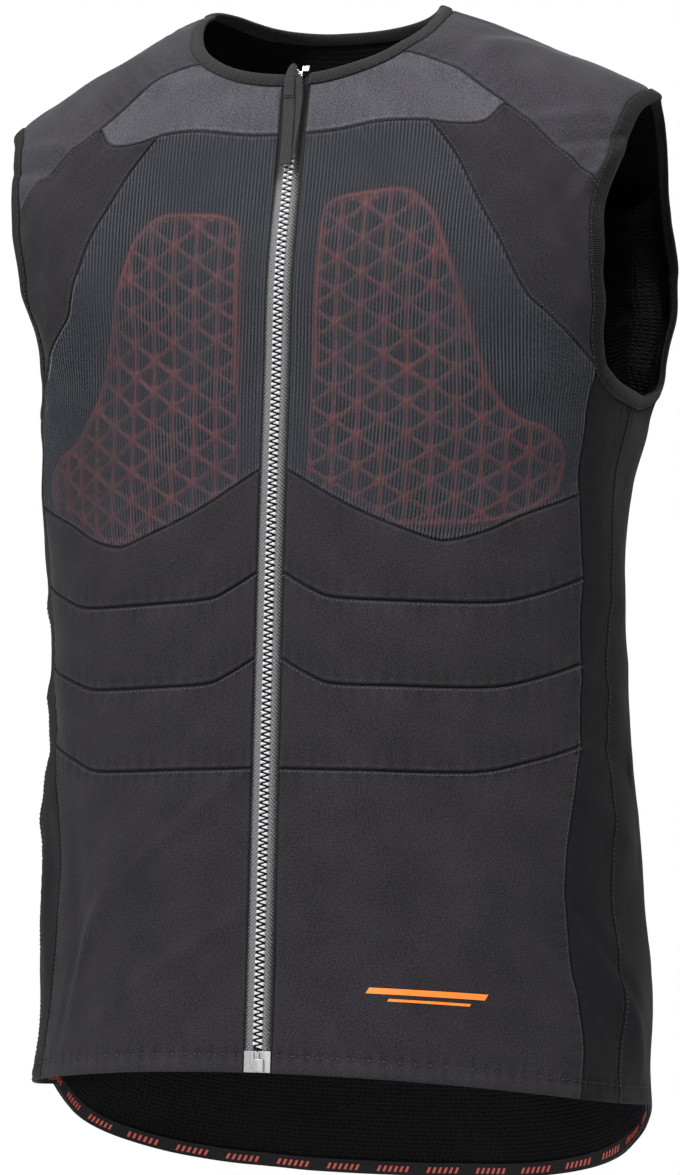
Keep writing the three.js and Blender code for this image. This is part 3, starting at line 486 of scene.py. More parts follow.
NECK_FRONT = float(solve(centre_height, -NECK_FRONT_DROP, 0.5, 1))
NECK_BACK = 2 - float(solve(lambda back: centre_height(2 - back), -NECK_BACK_DROP, 0.5, 1))
NECK_MIDDLE = (NECK_FRONT + NECK_BACK) / 2
NECK_SIDE = float(across_at(NECK_HALF_WIDTH, NECK_MIDDLE))


def neck_oval(margin):
    """Size and middle of the neck opening, widened by a margin."""
    front = walk([0, NECK_FRONT], [0, -1], margin)[1]
    back = walk([0, NECK_BACK], [0, 1], margin)[1]
    side = walk([NECK_SIDE, NECK_MIDDLE], [1, 0], margin)[0]
    return side, (front + back) / 2, (back - front) / 2


def on_oval(oval, angle):
    side, middle, half = oval
    return np.stack([side * np.sin(angle), middle - half * np.cos(angle)], -1)


NECK_EDGE = neck_oval(0.3)
NECK_SEAM = neck_oval(NECK_BINDING)


def zip_angle(oval):
    return float(solve(lambda angle: shell(on_oval(oval, angle))[..., 0], ZIP_HALF_WIDTH, 0, 1))


def neck_run(low, high):
    """A stretch of the neck's seam between two angles."""
    angles = np.linspace(low, high, 61)
    return np.linspace(0, 1, 61), on_oval(NECK_SEAM, angles)


def side_height(along):
    return shell(np.stack([0 * along + 1, along], -1))[..., 2]


UNDERARM = float(solve(side_height, -ARMHOLE_DROP, 0.3, 0.95))
TIP = float(across_at(SHOULDER_TIP, 1.0))
ARM_FINE = 12  # points to each step of the armhole


def armhole_loop():
    """The armhole's edge in even steps, from the underarm up the front and down the back."""
    up = np.linspace(0, 1, 241) ** 1.5
    cuts = read_table(ARMHOLE, up)
    across = 1 - (1 - TIP) * up[:, None] - ARMHOLE_REACH * cuts
    along = UNDERARM + (1 - UNDERARM) * up
    front = np.stack([across[:, 0], along], -1)
    back = np.stack([across[:, 1], 2 - along], -1)[::-1]
    back[:, 0] = np.where(back[:, 0] > 1, 1, back[:, 0])
    loop = by_length(np.concatenate([front, back[1:]]))
    return read(loop, np.arange(ARMHOLE_STEPS * ARM_FINE) / (ARMHOLE_STEPS * ARM_FINE))


def smoothed(loop, rounds, seam_at_start=False):
    """A closed run of points with its small kinks taken out. The run may change sheets at its start."""
    for _ in range(rounds):
        before, after = np.roll(loop, 1, 0), np.roll(loop, -1, 0)
        if seam_at_start:
            before[0], after[-1] = 2 - before[0], 2 - after[-1]
        loop = (before + 2 * loop + after) / 4
    return loop


ARM_EDGE = smoothed(armhole_loop(), 4, True)
ARM_SEAM = smoothed(beside(ARM_EDGE, -ARMHOLE_BINDING, closed=True), 4, True)


def arm_run(low, high):
    points = ARM_SEAM[low * ARM_FINE:high * ARM_FINE + 1]
    if high == ARMHOLE_STEPS:
        points = np.concatenate([points, [[2 - ARM_SEAM[0][0], 2 - ARM_SEAM[0][1]]]])
    return np.linspace(0, 1, len(points)), points


def zip_side(along):
    return np.stack([across_at(ZIP_HALF_WIDTH, along), np.asarray(along, float)], -1)


def zip_run(low, high):
    return by_length(zip_side(np.linspace(low, high, 61)))


# The lines that panels share, named as the seams they are.
neck_at_shoulder = on_oval(NECK_SEAM, NECK_SHOULDER_ANGLE)
neck_at_zip = on_oval(NECK_SEAM, zip_angle(NECK_SEAM))
yoke_seam = spline(zip_side(ZIP_SEAM["yoke"]), *YOKE_SEAM, YOKE_CORNER)
wing_seam = spline(YOKE_CORNER, *YOKE_WING, YOKE_TIP)
shoulder_upper = spline(neck_at_shoulder, *SHOULDER_SEAM_UPPER, YOKE_TIP)
shoulder_lower = spline(YOKE_TIP, *SHOULDER_SEAM_LOWER, ARM_SEAM[AT_SHOULDER * ARM_FINE])
mesh_outer = spline(MESH_FOOT, *MESH_OUTER[::-1], YOKE_CORNER)
mesh_side = spline(SIDE_AT_MESH, MESH_FOOT)
mesh_bottom = spline(zip_side(ZIP_SEAM["mesh"]), *MESH_BOTTOM, SIDE_AT_MESH)
upper_seam = spline(zip_side(ZIP_SEAM["upper"]), *BAND_SEAM_UPPER, SIDE_AT_UPPER)
middle_seam = spline(zip_side(ZIP_SEAM["middle"]), *BAND_SEAM_MIDDLE, SIDE_AT_MIDDLE)
lower_seam = spline(zip_side(ZIP_SEAM["lower"]), *BAND_SEAM_LOWER, SIDE_AT_LOWER)
front_hem = spline(zip_side(0.0), [0.3, 0], SIDE_HEM)
side_of_lower = spline(SIDE_HEM, *SIDE_LOWER, SIDE_AT_LOWER)
side_of_lower_band = spline(SIDE_AT_LOWER, SIDE_AT_MIDDLE)
side_of_middle_band = spline(SIDE_AT_MIDDLE, SIDE_AT_UPPER)
side_of_upper_band = spline(SIDE_AT_UPPER, SIDE_AT_MESH)
flank_seam = spline(*FLANK_SEAM, ARM_SEAM[AT_FLANK * ARM_FINE])
back_side_seam = spline(*BACK_SIDE_SEAM, ARM_SEAM[AT_BACK_SIDE * ARM_FINE])
back_yoke_seam = spline(*BACK_YOKE_SEAM, ARM_SEAM[AT_BACK_YOKE * ARM_FINE])
panel_foot = spline(MESH_FOOT, ARM_SEAM[AT_MESH_FOOT * ARM_FINE])
SIDE_RUN = (
    (side_of_lower, 6), (side_of_lower_band, 2), (side_of_middle_band, 2), (side_of_upper_band, 2),
)
neck_front = neck_run(zip_angle(NECK_SEAM), NECK_SHOULDER_ANGLE)
neck_back = neck_run(NECK_SHOULDER_ANGLE, math.pi)


def fill(bottom, right, top, left, u, v):
    """Rows of points filling the space between four lines, at shares u across and v up."""
    low, high = read(bottom, u)[None], read(top, u)[None]
    start, end = read(left, v)[:, None], read(right, v)[:, None]
    a, b = u[None, :, None], v[:, None, None]
    corners = ((1 - a) * (1 - b) * low[:, :1] + a * (1 - b) * low[:, -1:]
               + (1 - a) * b * high[:, :1] + a * b * high[:, -1:])
    return (1 - b) * low + b * high + (1 - a) * start + a * end - corners


EDGE_STEPS = np.array([0, 0.4, 0.8, 1.3, 1.9, 2.7, 3.7, 5.0, 6.7, 8.8])


def graded(length, step=3.0):
    """Shares of a length that lie closer together at both ends."""
    if length < 4 * EDGE_STEPS[-1]:
        near = EDGE_STEPS[:7]
    else:
        near = EDGE_STEPS
    middle = max(int(round((length - 2 * near[-1]) / step)), 2)
    inner = np.linspace(near[-1], length - near[-1], middle + 1)[1:-1]
    return np.concatenate([near, inner, (length - near)[::-1]]) / length


# How the cloth lies beside each kind of edge: ridge, groove and pucker heights.
EDGES = {
    "seam": (0.25, 1.0, 0.3),
    "pressed": (0.3, 1.1, 0.26),
    "band": (0.3, 1.3, 0.42),
    "side": (0.15, 0.9, 0.42),
    "binding": (0.0, 0.8, 0.22),
    "zip": (0.2, 1.5, 0.0),
    "hem": (0.0, 0.0, 0.12),
    "plain": (0.0, 0.0, 0.0),
}
HEM_STITCH = 10
HEM_ROUND = 1.3


def edge_lift(kind, away, run, phase):
    """Heights beside one edge, at distances away from it and along it."""
    ridge, groove, pucker = EDGES[kind]
    dip = -groove * np.exp(-((away / 0.8) ** 1.6))
    rise = ridge * np.exp(-(((away - 1.9) / 0.9) ** 2))
    ripple = np.sin(run * 2 * math.pi / 8.3 + 1.7 * np.sin(run / 21 + phase) + phase)
    rise += pucker * ripple * np.exp(-away / 5.5) * (1 - np.exp(-((away / 1.6) ** 2)))
    if kind == "hem":
        rise -= 0.5 * np.exp(-(((away - HEM_STITCH) / 0.9) ** 2))
        rise += 0.3 * np.exp(-(((away - HEM_STITCH / 2) / 3.5) ** 2))
        rise += 0.3 * ripple * np.exp(-(((away - HEM_STITCH) / 4.5) ** 2))
    return dip, rise


def run_lengths(place, axis):
    steps = np.linalg.norm(np.diff(place, axis=axis), axis=-1)
    start = np.zeros_like(steps[:1] if axis == 0 else steps[:, :1])
    return np.concatenate([start, np.cumsum(steps, axis=axis)], axis=axis)


def make_mesh(name, points, faces, uv=None, tone=None, looks=None, sharp=50):
    """A smooth mesh from points in millimetres and its faces' corners, in one or more arrays."""
    mesh = bpy.data.meshes.new(name)
    faces = [np.asarray(part, np.int32) for part in (faces if isinstance(faces, list) else [faces])]
    loops = np.concatenate([part.ravel() for part in faces])
    counts = np.concatenate([np.full(len(part), part.shape[1]) for part in faces])
    mesh.vertices.add(len(points))
    mesh.vertices.foreach_set("co", (np.asarray(points, float) * MM).astype(np.float32).ravel())
    mesh.loops.add(len(loops))
    mesh.loops.foreach_set("vertex_index", loops)
    mesh.polygons.add(len(counts))
    mesh.polygons.foreach_set("loop_start", (np.cumsum(counts) - counts).astype(np.int32))
    if looks is not None:
        mesh.polygons.foreach_set("material_index", np.asarray(looks, np.int32))
    mesh.update(calc_edges=True)
    if uv is not None:
        layer = mesh.uv_layers.new(name="cloth")
        layer.data.foreach_set("uv", (np.asarray(uv)[loops] * MM).astype(np.float32).ravel())
    # Painted light and shade, one value a point, for the materials to read.
    if tone is not None:
        attribute = mesh.attributes.new("tone", "FLOAT", "POINT")
        attribute.data.foreach_set("value", np.asarray(tone, np.float32).ravel())
    mesh.validate()
    mesh.shade_smooth()
    if sharp:
        mesh.set_sharp_from_angle(angle=math.radians(sharp))
    return mesh


def add_piece(name, mesh, materials, nodes=()):
    """An object that rides with the vest and stands for its solids."""
    piece = bpy.data.objects.new(name, mesh)
    for material in materials:
        mesh.materials.append(material)
    bpy.context.scene.collection.objects.link(piece)
    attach(piece, "root")
    if nodes:
        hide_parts(*nodes)
    return piece


def grid_quads(rows, columns, closed=False):
    j, i = np.meshgrid(np.arange(rows - 1), np.arange(columns if closed else columns - 1), indexing="ij")
    k = (i + 1) % columns
    low, high = j * columns, (j + 1) * columns
    return np.stack([low + i, low + k, high + k, high + i], -1).reshape(-1, 4)


def ring_quads(rows, columns):
    """Faces that join the last row of a closed body to its first."""
    k = np.arange(columns)
    last = (rows - 1) * columns
    return np.stack([last + k, last + (k + 1) % columns, (k + 1) % columns, k], -1)


def cap_quads(rows, columns):
    """Faces that close the first and the last row of a bar."""
    k = np.arange(columns // 2 - 1)
    cap = np.stack([k, k + 1, columns - 2 - k, columns - 1 - k], -1)
    return np.concatenate([cap[:, ::-1], cap + (rows - 1) * columns])


def cut_in_two(quads):
    return np.concatenate([quads[:, :3], quads[:, [0, 2, 3]]])


def circles(aside, above, count):
    """Directions round a circle at each place, between two directions there."""
    turn = np.arange(count) * 2 * math.pi / count
    return aside[:, None] * np.cos(turn)[None, :, None] + above[:, None] * np.sin(turn)[None, :, None]


def rim_quads(rows, columns, base):
    """Faces that join the borders of two layers of points, base apart."""
    low = np.arange(columns)
    high = low + (rows - 1) * columns
    left = np.arange(rows) * columns
    right = left + columns - 1
    border = np.concatenate([low, right[1:], high[::-1][1:], left[::-1][1:]])
    start, end = border[:-1], border[1:]
    return np.stack([start, start + base, end + base, end], -1)


def two_layers(name, outer, inner, uv, tone, shares, hard=62):
    """The mesh of a sheet with an outer and an inner layer, its faces pointing out."""
    rows, columns = outer.shape[:2]
    base = rows * columns
    face = grid_quads(rows, columns)
    quads = np.concatenate([face, face[:, ::-1] + base, rim_quads(rows, columns, base)])
    points = np.concatenate([outer.reshape(-1, 3), inner.reshape(-1, 3)])
    middle = face[len(face) // 2 + columns // 2]
    turned = np.cross(points[middle[1]] - points[middle[0]], points[middle[3]] - points[middle[0]])
    if turned @ normals(shares.reshape(-1, 2)[middle[0]]) < 0:
        quads = quads[:, ::-1]
    looks = np.zeros(len(quads))
    looks[len(face):2 * len(face)] = 1
    return make_mesh(name, points, quads, np.tile(uv.reshape(-1, 2), (2, 1)),
                     np.tile(tone.reshape(-1), 2), looks, hard)


def sheet(name, shares, lift, inner, tone=None, uv=None):
    """The mesh of a sheet over the shell, between two heights."""
    place, out = shell(shares), normals(shares)
    if uv is None:
        uv = np.stack([run_lengths(place, 1), run_lengths(place, 0)], -1)
    if tone is None:
        tone = 0 * lift
    return two_layers(name, place + out * lift[..., None], place + out * inner[..., None], uv, tone, shares)


def cloth_heights(shares, kinds, puff=0.0):
    """Height, inner height and painted light and shade of a panel between its four edges: a painted highlight
    on the ridges beside its seams and painted shade in their grooves.
    """
    place = shell(shares)
    run_u, run_v = run_lengths(place, 1), run_lengths(place, 0)
    left, right = run_u, run_u[:, -1:] - run_u
    bottom, top = run_v, run_v[-1:] - run_v
    dip, rise, hem = 0.0, 0.0, np.ones(left.shape)
    sides = ((bottom, run_u, 0.3), (right, run_v, 1.9), (top, run_u, 3.1), (left, run_v, 4.4))
    for kind, (away, run, phase) in zip(kinds, sides):
        down, up = edge_lift(kind, away, run, phase)
        dip = np.minimum(dip, down)
        rise = rise + up
        if kind == "hem":
            hem = np.sqrt(1 - (1 - np.clip(away / HEM_ROUND, 0, 1)) ** 2)
    u = run_u / run_u[:, -1:]
    v = run_v / run_v[-1:]
    swell = puff * (1 - np.abs(2 * v - 1) ** 2.6) * (1 - np.abs(2 * u - 1) ** 10)
    base = relief(shares)
    lift = base + dip + rise + swell
    inner = base + swell - CLOTH
    middle = (lift + inner) / 2
    lift = middle + (lift - middle) * hem
    inner = middle + (inner - middle) * hem
    # Painted highlight where the cloth rises beside an edge and painted shade in the groove at the edge.
    return lift, inner, np.clip(rise, -0.6, 0.6) + dip * 0.6


def line_length(line):
    return np.linalg.norm(np.diff(shell(line[1]), axis=0), axis=1).sum()


def panel(name, lines, kinds, materials, slot, side=1, puff=0.0, step=3.0):
    """A cloth panel between four lines: bottom, right, top and left."""
    lengths = [line_length(line) for line in lines]
    u = graded((lengths[0] + lengths[2]) / 2, step)
    v = graded((lengths[1] + lengths[3]) / 2, step)
    shares = fill(*lines, u, v)
    if side < 0:
        shares = shares * [-1, 1]
    mesh = sheet(name, shares, *cloth_heights(shares, kinds, puff))
    return add_piece(name, mesh, materials, (name,))


SIDES = (("_left", 1), ("_right", -1))


def pair(name, *rest, **more):
    for ending, side in SIDES:
        panel(name + ending, *rest, side=side, **more)


class Nodes:
    """A material's nodes, made by short calls."""

    def __init__(self, name):
        self.material = bpy.data.materials.new(name)
        self.material.use_nodes = True
        self.tree = self.material.node_tree
        self.shader = self.tree.nodes["Principled BSDF"]
        self.uv = self.add("ShaderNodeUVMap", uv_map="cloth").outputs[0]

    def add(self, kind, inputs=(), **settings):
        node = self.tree.nodes.new(kind)
        for key, value in settings.items():
            setattr(node, key, value)
        for key, value in dict(inputs).items():
            self.put(node.inputs[key], value)
        return node

    def put(self, socket, value):
        if isinstance(value, bpy.types.NodeSocket):
            self.tree.links.new(value, socket)
        else:
            socket.default_value = value

    def math(self, operation, a, b=0.0):
        return self.add("ShaderNodeMath", {0: a, 1: b}, operation=operation).outputs[0]

    def mixed(self, *weighted):
        """The sum of values, each given with its weight or as it is."""
        terms = [self.math("MULTIPLY", *term) if isinstance(term, tuple) else term for term in weighted]
        total = terms[0]
        for term in terms[1:]:
            total = self.math("ADD", total, term)
        return total

    def scaled(self, x, y=None):
        y = x if y is None else y
        return self.add("ShaderNodeMapping", {"Vector": self.uv, "Scale": (x, y, 1)}).outputs[0]

    def wave(self, period, direction="X", bend=0.0, phase=0.0):
        """Soft bands with a period in metres, from 0 to 1."""
        inputs = {"Vector": self.uv, "Scale": math.pi / 10 / period, "Distortion": bend,
                  "Phase Offset": phase, "Detail": 1.0, "Detail Scale": 0.6 * period}
        return self.add("ShaderNodeTexWave", inputs, wave_type="BANDS", bands_direction=direction).outputs[1]

    def noise(self, size, detail=2.0, stretch=1.0):
        """Smooth noise with a size in metres, from 0 to 1."""
        vector = self.scaled(1 / size, stretch / size)
        return self.add("ShaderNodeTexNoise", {"Vector": vector, "Scale": 1.0, "Detail": detail}).outputs[0]

    def blend(self, factor, a, b, kind="MIX"):
        node = self.add("ShaderNodeMix", data_type="RGBA", blend_type=kind)
        for index, value in ((0, factor), (6, a), (7, b)):
            self.put(node.inputs[index], value)
        return node.outputs[2]

    def ramp(self, value, low, high, to_low=0.0, to_high=1.0):
        inputs = {0: value, 1: low, 2: high, 3: to_low, 4: to_high}
        return self.add("ShaderNodeMapRange", inputs).outputs[0]

    # The point values of painted light and shade.
    def tone(self):
        return self.add("ShaderNodeAttribute", attribute_name="tone").outputs["Fac"]

    def bump(self, height, distance, strength=1.0):
        inputs = {"Height": height, "Distance": distance, "Strength": strength}
        self.put(self.shader.inputs["Normal"], self.add("ShaderNodeBump", inputs).outputs[0])

    def set(self, **inputs):
        for key, value in inputs.items():
            self.put(self.shader.inputs[key.replace("_", " ")], value)


def grey(level, cool=0.0):
    return (level, level, level * (1 + cool), 1)


def woven(name, dark, light, yarn, sheen, rough=0.88):
    """A fine woven cloth with visible yarns and slubs, a painted highlight on the ridge by each seam and
    painted shade in its groove.
    """
    n = Nodes(name)
    warp = n.wave(yarn, "X")
    weft = n.wave(yarn, "Y", phase=1.2)
    fleck = n.noise(0.0012, 2.0, 1.6)
    cloud = n.noise(0.03, 4.0)
    weave = n.math("MULTIPLY", n.math("ADD", warp, weft), 0.5)
    # The point values paint a highlight on seam ridges and shade in seam grooves into the colour.
    mix = n.mixed((weave, 0.2), n.ramp(fleck, 0.3, 0.7, -0.15, 0.75), n.ramp(cloud, 0.3, 0.7, -0.12, 0.12),
                  (n.tone(), 0.55))
    crumple = n.math("ADD", n.noise(0.034, 3.0, 0.7), n.noise(0.012, 2.0, 0.6))
    n.bump(n.mixed((weave, 0.6), (fleck, 0.5), (crumple, 4.0)), 0.00022, 0.7)
    n.set(Base_Color=n.blend(n.ramp(mix, 0.0, 1.0), dark, light),
          Roughness=n.ramp(fleck, 0.2, 0.8, rough - 0.08, rough + 0.06),
          Sheen_Weight=sheen, Sheen_Roughness=0.45, Sheen_Tint=(1, 1, 1, 1), Specular_IOR_Level=0.12)
    return n.material


def knit_lining(name, level, cell):
    """A black spacer knit with small round cells."""
    n = Nodes(name)
    inputs = {"Vector": n.scaled(1 / cell, 1.3 / cell), "Scale": 1.0, "Randomness": 0.25}
    hole = n.ramp(n.add("ShaderNodeTexVoronoi", inputs).outputs["Distance"], 0.12, 0.42)
    mix = n.mixed((hole, 0.6), (n.noise(0.0012, 2.0), 0.4))
    colour = n.blend(mix, grey(level * 0.35, 0.3), grey(level * 1.6, 0.35))
    n.bump(hole, 0.0006, 0.8)
    n.set(Base_Color=colour, Roughness=0.62, Sheen_Weight=0.04, Sheen_Roughness=0.35,
          Sheen_Tint=(0.75, 0.85, 1.0, 1), Specular_IOR_Level=0.06)
    return n.material


def open_mesh(name, rib, low, high, dark, light):
    """A see-through ribbed mesh. Low and high are how much it covers between and on its ribs."""
    n = Nodes(name)
    shown = n.ramp(n.noise(0.06, 1.0), 0.35, 0.65, 0.35, 1.0)
    ribs = n.math("MULTIPLY", n.wave(rib, "X", bend=0.5), shown)
    ribs = n.math("ADD", ribs, n.ramp(shown, 0.0, 1.0, 0.45, 0.0))
    stitches = n.wave(0.0011, "Y", bend=0.4)
    cloud = n.noise(0.03, 2.0)
    cover = n.mixed((ribs, 0.85), (stitches, 0.15))
    # Along its seams the point values make the mesh more opaque, lighter on the ridges and darker in the
    # grooves: painted highlight and painted shade.
    alpha = n.mixed(n.ramp(cover, 0.0, 1.0, low, high), n.ramp(cloud, 0.3, 0.7, -0.05, 0.05),
                    (n.math("ABSOLUTE", n.tone()), 0.6))
    alpha = n.add("ShaderNodeClamp", {0: alpha, 1: 0.0, 2: 1.0}).outputs[0]
    mix = n.mixed(cover, (n.tone(), 0.3))
    n.bump(ribs, 0.0005, 0.8)
    n.set(Base_Color=n.blend(n.ramp(mix, 0.0, 1.0), dark, light), Roughness=0.7, Alpha=alpha,
          Sheen_Weight=0.08, Sheen_Roughness=0.4, Sheen_Tint=(0.8, 0.9, 1.0, 1), Specular_IOR_Level=0.12)
    return n.material


def ribbed_knit(name, level, rib):
    """A binding of black ribbed knit, its ribs crossing the strip."""
    n = Nodes(name)
    ribs = n.wave(rib, "X")
    loops = n.wave(0.0009, "Y", bend=0.8)
    fleck = n.noise(0.0012, 2.0)
    height = n.mixed(ribs, (loops, 0.4))
    mix = n.mixed((height, 0.45), n.ramp(fleck, 0.2, 0.8, 0.0, 0.4))
    n.bump(height, 0.0004, 0.9)
    n.set(Base_Color=n.blend(mix, grey(level * 0.35), grey(level * 1.7)), Roughness=0.85,
          Sheen_Weight=0.08, Sheen_Roughness=0.45, Specular_IOR_Level=0.12)
    return n.material


def rubber(name, dark, light):
    """A soft moulded red pad with a fine pebbled skin, lighter where the point values paint light and darker
    where they paint shade.
    """
    n = Nodes(name)
    grain = n.noise(0.0009, 3.0)
    cloud = n.noise(0.02, 2.0)
    mix = n.mixed(n.ramp(grain, 0.3, 0.7, 0.0, 0.4), n.ramp(cloud, 0.3, 0.7, 0.0, 0.25), n.tone())
    n.bump(grain, 0.00015, 0.6)
    n.set(Base_Color=n.blend(n.ramp(mix, 0.0, 1.0), dark, light),
          Roughness=n.ramp(grain, 0.3, 0.7, 0.4, 0.55), Specular_IOR_Level=0.5)
    return n.material


def twill_tape(name, dark, light, width):
    """A speckled twill tape."""
    n = Nodes(name)
    twill = n.wave(width, "DIAGONAL", bend=0.5)
    yarn = n.wave(width * 0.6, "Y", bend=0.6)
    fleck = n.noise(0.0008, 2.0)
    height = n.mixed((twill, 0.4), (yarn, 0.2), n.ramp(fleck, 0.3, 0.7, 0.0, 0.5))
    n.bump(height, 0.0002, 0.8)
    # The point values darken the zip tape as painted shade.
    mix = n.ramp(n.mixed(height, n.tone()), 0.1, 0.95)
    n.set(Base_Color=n.blend(mix, dark, light), Roughness=0.75, Specular_IOR_Level=0.2)
    return n.material


def moulded(name, dark, light, rough, metal=0.0, coat=0.0):
    """Moulded or cast material with small marks of handling."""
    n = Nodes(name)
    marks = n.noise(0.0021, 4.0)
    n.bump(marks, 0.00004, 0.6)
    n.set(Base_Color=n.blend(marks, dark, light),
          Roughness=n.ramp(marks, 0.3, 0.7, rough * 0.8, rough * 1.3),
          Metallic=metal, Coat_Weight=coat, Specular_IOR_Level=0.6)
    return n.material


SOFTSHELL = woven("softshell", (0.006, 0.0055, 0.0066, 1), (0.029, 0.0266, 0.031, 1), 0.00062, sheen=0.05)
YOKE = woven("yoke", (0.022, 0.0207, 0.025, 1), (0.086, 0.081, 0.098, 1), 0.0005, sheen=0.1, rough=0.8)
SHOULDER = woven("shoulder", (0.012, 0.0114, 0.0138, 1), (0.05, 0.0473, 0.0565, 1), 0.0005, sheen=0.08)
STRETCH = woven("stretch", (0.0022, 0.002, 0.0025, 1), (0.011, 0.0101, 0.0122, 1), 0.0007, sheen=0.03)
INSIDE = knit_lining("inside", 0.0012, 0.0034)
POCKET = knit_lining("pocket", 0.0012, 0.0026)
MESH = open_mesh("mesh", 0.0022, 0.46, 0.88, (0.012, 0.0125, 0.0155, 1), (0.046, 0.048, 0.058, 1))
MESH_BACK = open_mesh("mesh_back", 0.0022, 0.02, 0.25, (0.01, 0.0105, 0.012, 1), (0.025, 0.026, 0.03, 1))
BINDING = ribbed_knit("binding", 0.003, 0.0013)
COLLAR = ribbed_knit("collar", 0.016, 0.0013)
STRAP = ribbed_knit("strap", 0.026, 0.0012)
PAD = rubber("pad", (0.16, 0.026, 0.018, 1), (0.62, 0.055, 0.028, 1))
TAPE = twill_tape("tape", (0.006, 0.006, 0.0065, 1), (0.17, 0.17, 0.175, 1), 0.0011)
HEM_TAPE = twill_tape("hem_tape", (0.0015, 0.0015, 0.0015, 1), (0.008, 0.008, 0.0083, 1), 0.001)
TEETH = moulded("teeth", (0.34, 0.34, 0.35, 1), (0.54, 0.54, 0.55, 1), 0.24, coat=0.4)
SLIDER = moulded("slider", (0.5, 0.45, 0.36, 1), (0.78, 0.74, 0.64, 1), 0.24, metal=1.0)
STOP = moulded("stop", (0.17, 0.17, 0.175, 1), (0.3, 0.3, 0.306, 1), 0.3, coat=0.3)
THREAD = moulded("thread", (0.012, 0.012, 0.012, 1), (0.03, 0.03, 0.031, 1), 0.6)
PALE_THREAD = moulded("pale_thread", (0.03, 0.028, 0.032, 1), (0.055, 0.052, 0.058, 1), 0.7)
ORANGE = moulded("orange_film", (0.78, 0.16, 0.012, 1), (0.86, 0.2, 0.02, 1), 0.38)
RED = moulded("red_film", (0.34, 0.03, 0.018, 1), (0.46, 0.05, 0.028, 1), 0.5)


def mirror_line(line):
    return line[0], line[1] * [-1, 1]


def across_centre(line):
    """A line from the centre to one side, and its mirror image before it."""
    return chain((mirror_line(flip(line)), 1), (line, 1))


def both_halves(line):
    """A line that ends at the centre, followed by its mirror image."""
    return chain((line, 1), (flip(mirror_line(line)), 1))


def add_front_panels():
    soft = ([SOFTSHELL, INSIDE], "softshell")
    pair("yoke", (chain((yoke_seam, 9), (wing_seam, 2)), flip(shoulder_upper), neck_front,
                  zip_run(ZIP_SEAM["yoke"], neck_at_zip[1])),
         ("pressed", "seam", "binding", "zip"), [YOKE, INSIDE], "yoke")
    pair("armhole_panel", (panel_foot, arm_run(AT_MESH_FOOT, AT_SHOULDER),
                           chain((wing_seam, 2), (shoulder_lower, 2)), mesh_outer),
         ("side", "binding", "seam", "pressed"), *soft)
    pair("chest_mesh", (mesh_bottom, chain((mesh_side, 3), (mesh_outer, 10)), yoke_seam,
                        zip_run(ZIP_SEAM["mesh"], ZIP_SEAM["yoke"])),
         ("pressed", "pressed", "pressed", "zip"), [MESH, MESH_BACK], "mesh")
    bands = (
        ("upper_band", upper_seam, side_of_upper_band, mesh_bottom, "upper", "mesh", "pressed"),
        ("middle_band", middle_seam, side_of_middle_band, upper_seam, "middle", "upper", "band"),
        ("lower_band", lower_seam, side_of_lower_band, middle_seam, "lower", "middle", "band"),
    )
    for name, low, side, high, zip_low, zip_high, top_kind in bands:
        pair(name, (low, side, high, zip_run(ZIP_SEAM[zip_low], ZIP_SEAM[zip_high])),
             ("band", "side", top_kind, "zip"), *soft, puff=1.5)
    pair("lower_front", (front_hem, side_of_lower, lower_seam, zip_run(0, ZIP_SEAM["lower"])),
         ("hem", "side", "band", "zip"), *soft)


def add_side_panels():
    stretch = ([STRETCH, INSIDE], "stretch")
    top = chain((panel_foot, 1), (flip(arm_run(AT_FLANK, AT_MESH_FOOT)), 2))
    bottom = spline(SIDE_HEM, FLANK_SEAM[0])
    pair("side_front", (bottom, flank_seam, top, chain(*SIDE_RUN, (mesh_side, 3))),
         ("hem", "side", "side", "side"), *stretch)
    back_of_arm = flip(other_sheet(arm_run(AT_BACK_SIDE, ARMHOLE_STEPS)))
    top = chain((flip(arm_run(0, AT_FLANK)), 1), (back_of_arm, 4))
    bottom = spline(FLANK_SEAM[0], 2 - np.array(BACK_SIDE_SEAM[0]))
    pair("side_back", (bottom, other_sheet(back_side_seam), top, flank_seam),
         ("hem", "side", "binding", "side"), *stretch)


def add_back_panels():
    edge = chain((back_side_seam, 8), (flip(arm_run(AT_BACK_YOKE, AT_BACK_SIDE)), 10))
    bottom = across_centre(spline([0, 2], BACK_SIDE_SEAM[0]))
    panel("back_panel", (bottom, edge, across_centre(back_yoke_seam), mirror_line(edge)),
          ("hem", "side", "seam", "side"), [SOFTSHELL, INSIDE], "softshell", step=3.6)
    front = chain((shoulder_upper, 3), (shoulder_lower, 2))
    outer = both_halves(chain((arm_run(AT_SHOULDER, AT_BACK_YOKE), 9), (flip(back_yoke_seam), 5)))
    panel("shoulder_yoke", (front, outer, mirror_line(front), both_halves(neck_back)),
          ("seam", "binding", "seam", "binding"), [SHOULDER, INSIDE], "yoke")


# Bindings, as points [share from the edge to the seam, height].
BINDING_SECTION = [
    (1.0, -0.6), (0.97, 0.2), (0.86, 0.75), (0.62, 1.05), (0.36, 1.1), (0.16, 0.8), (0.04, 0.1),
    (-0.02, -0.8), (0.05, -1.7), (0.25, -2.3), (0.6, -2.5), (0.88, -2.3), (0.98, -1.8), (1.0, -1.2),
]


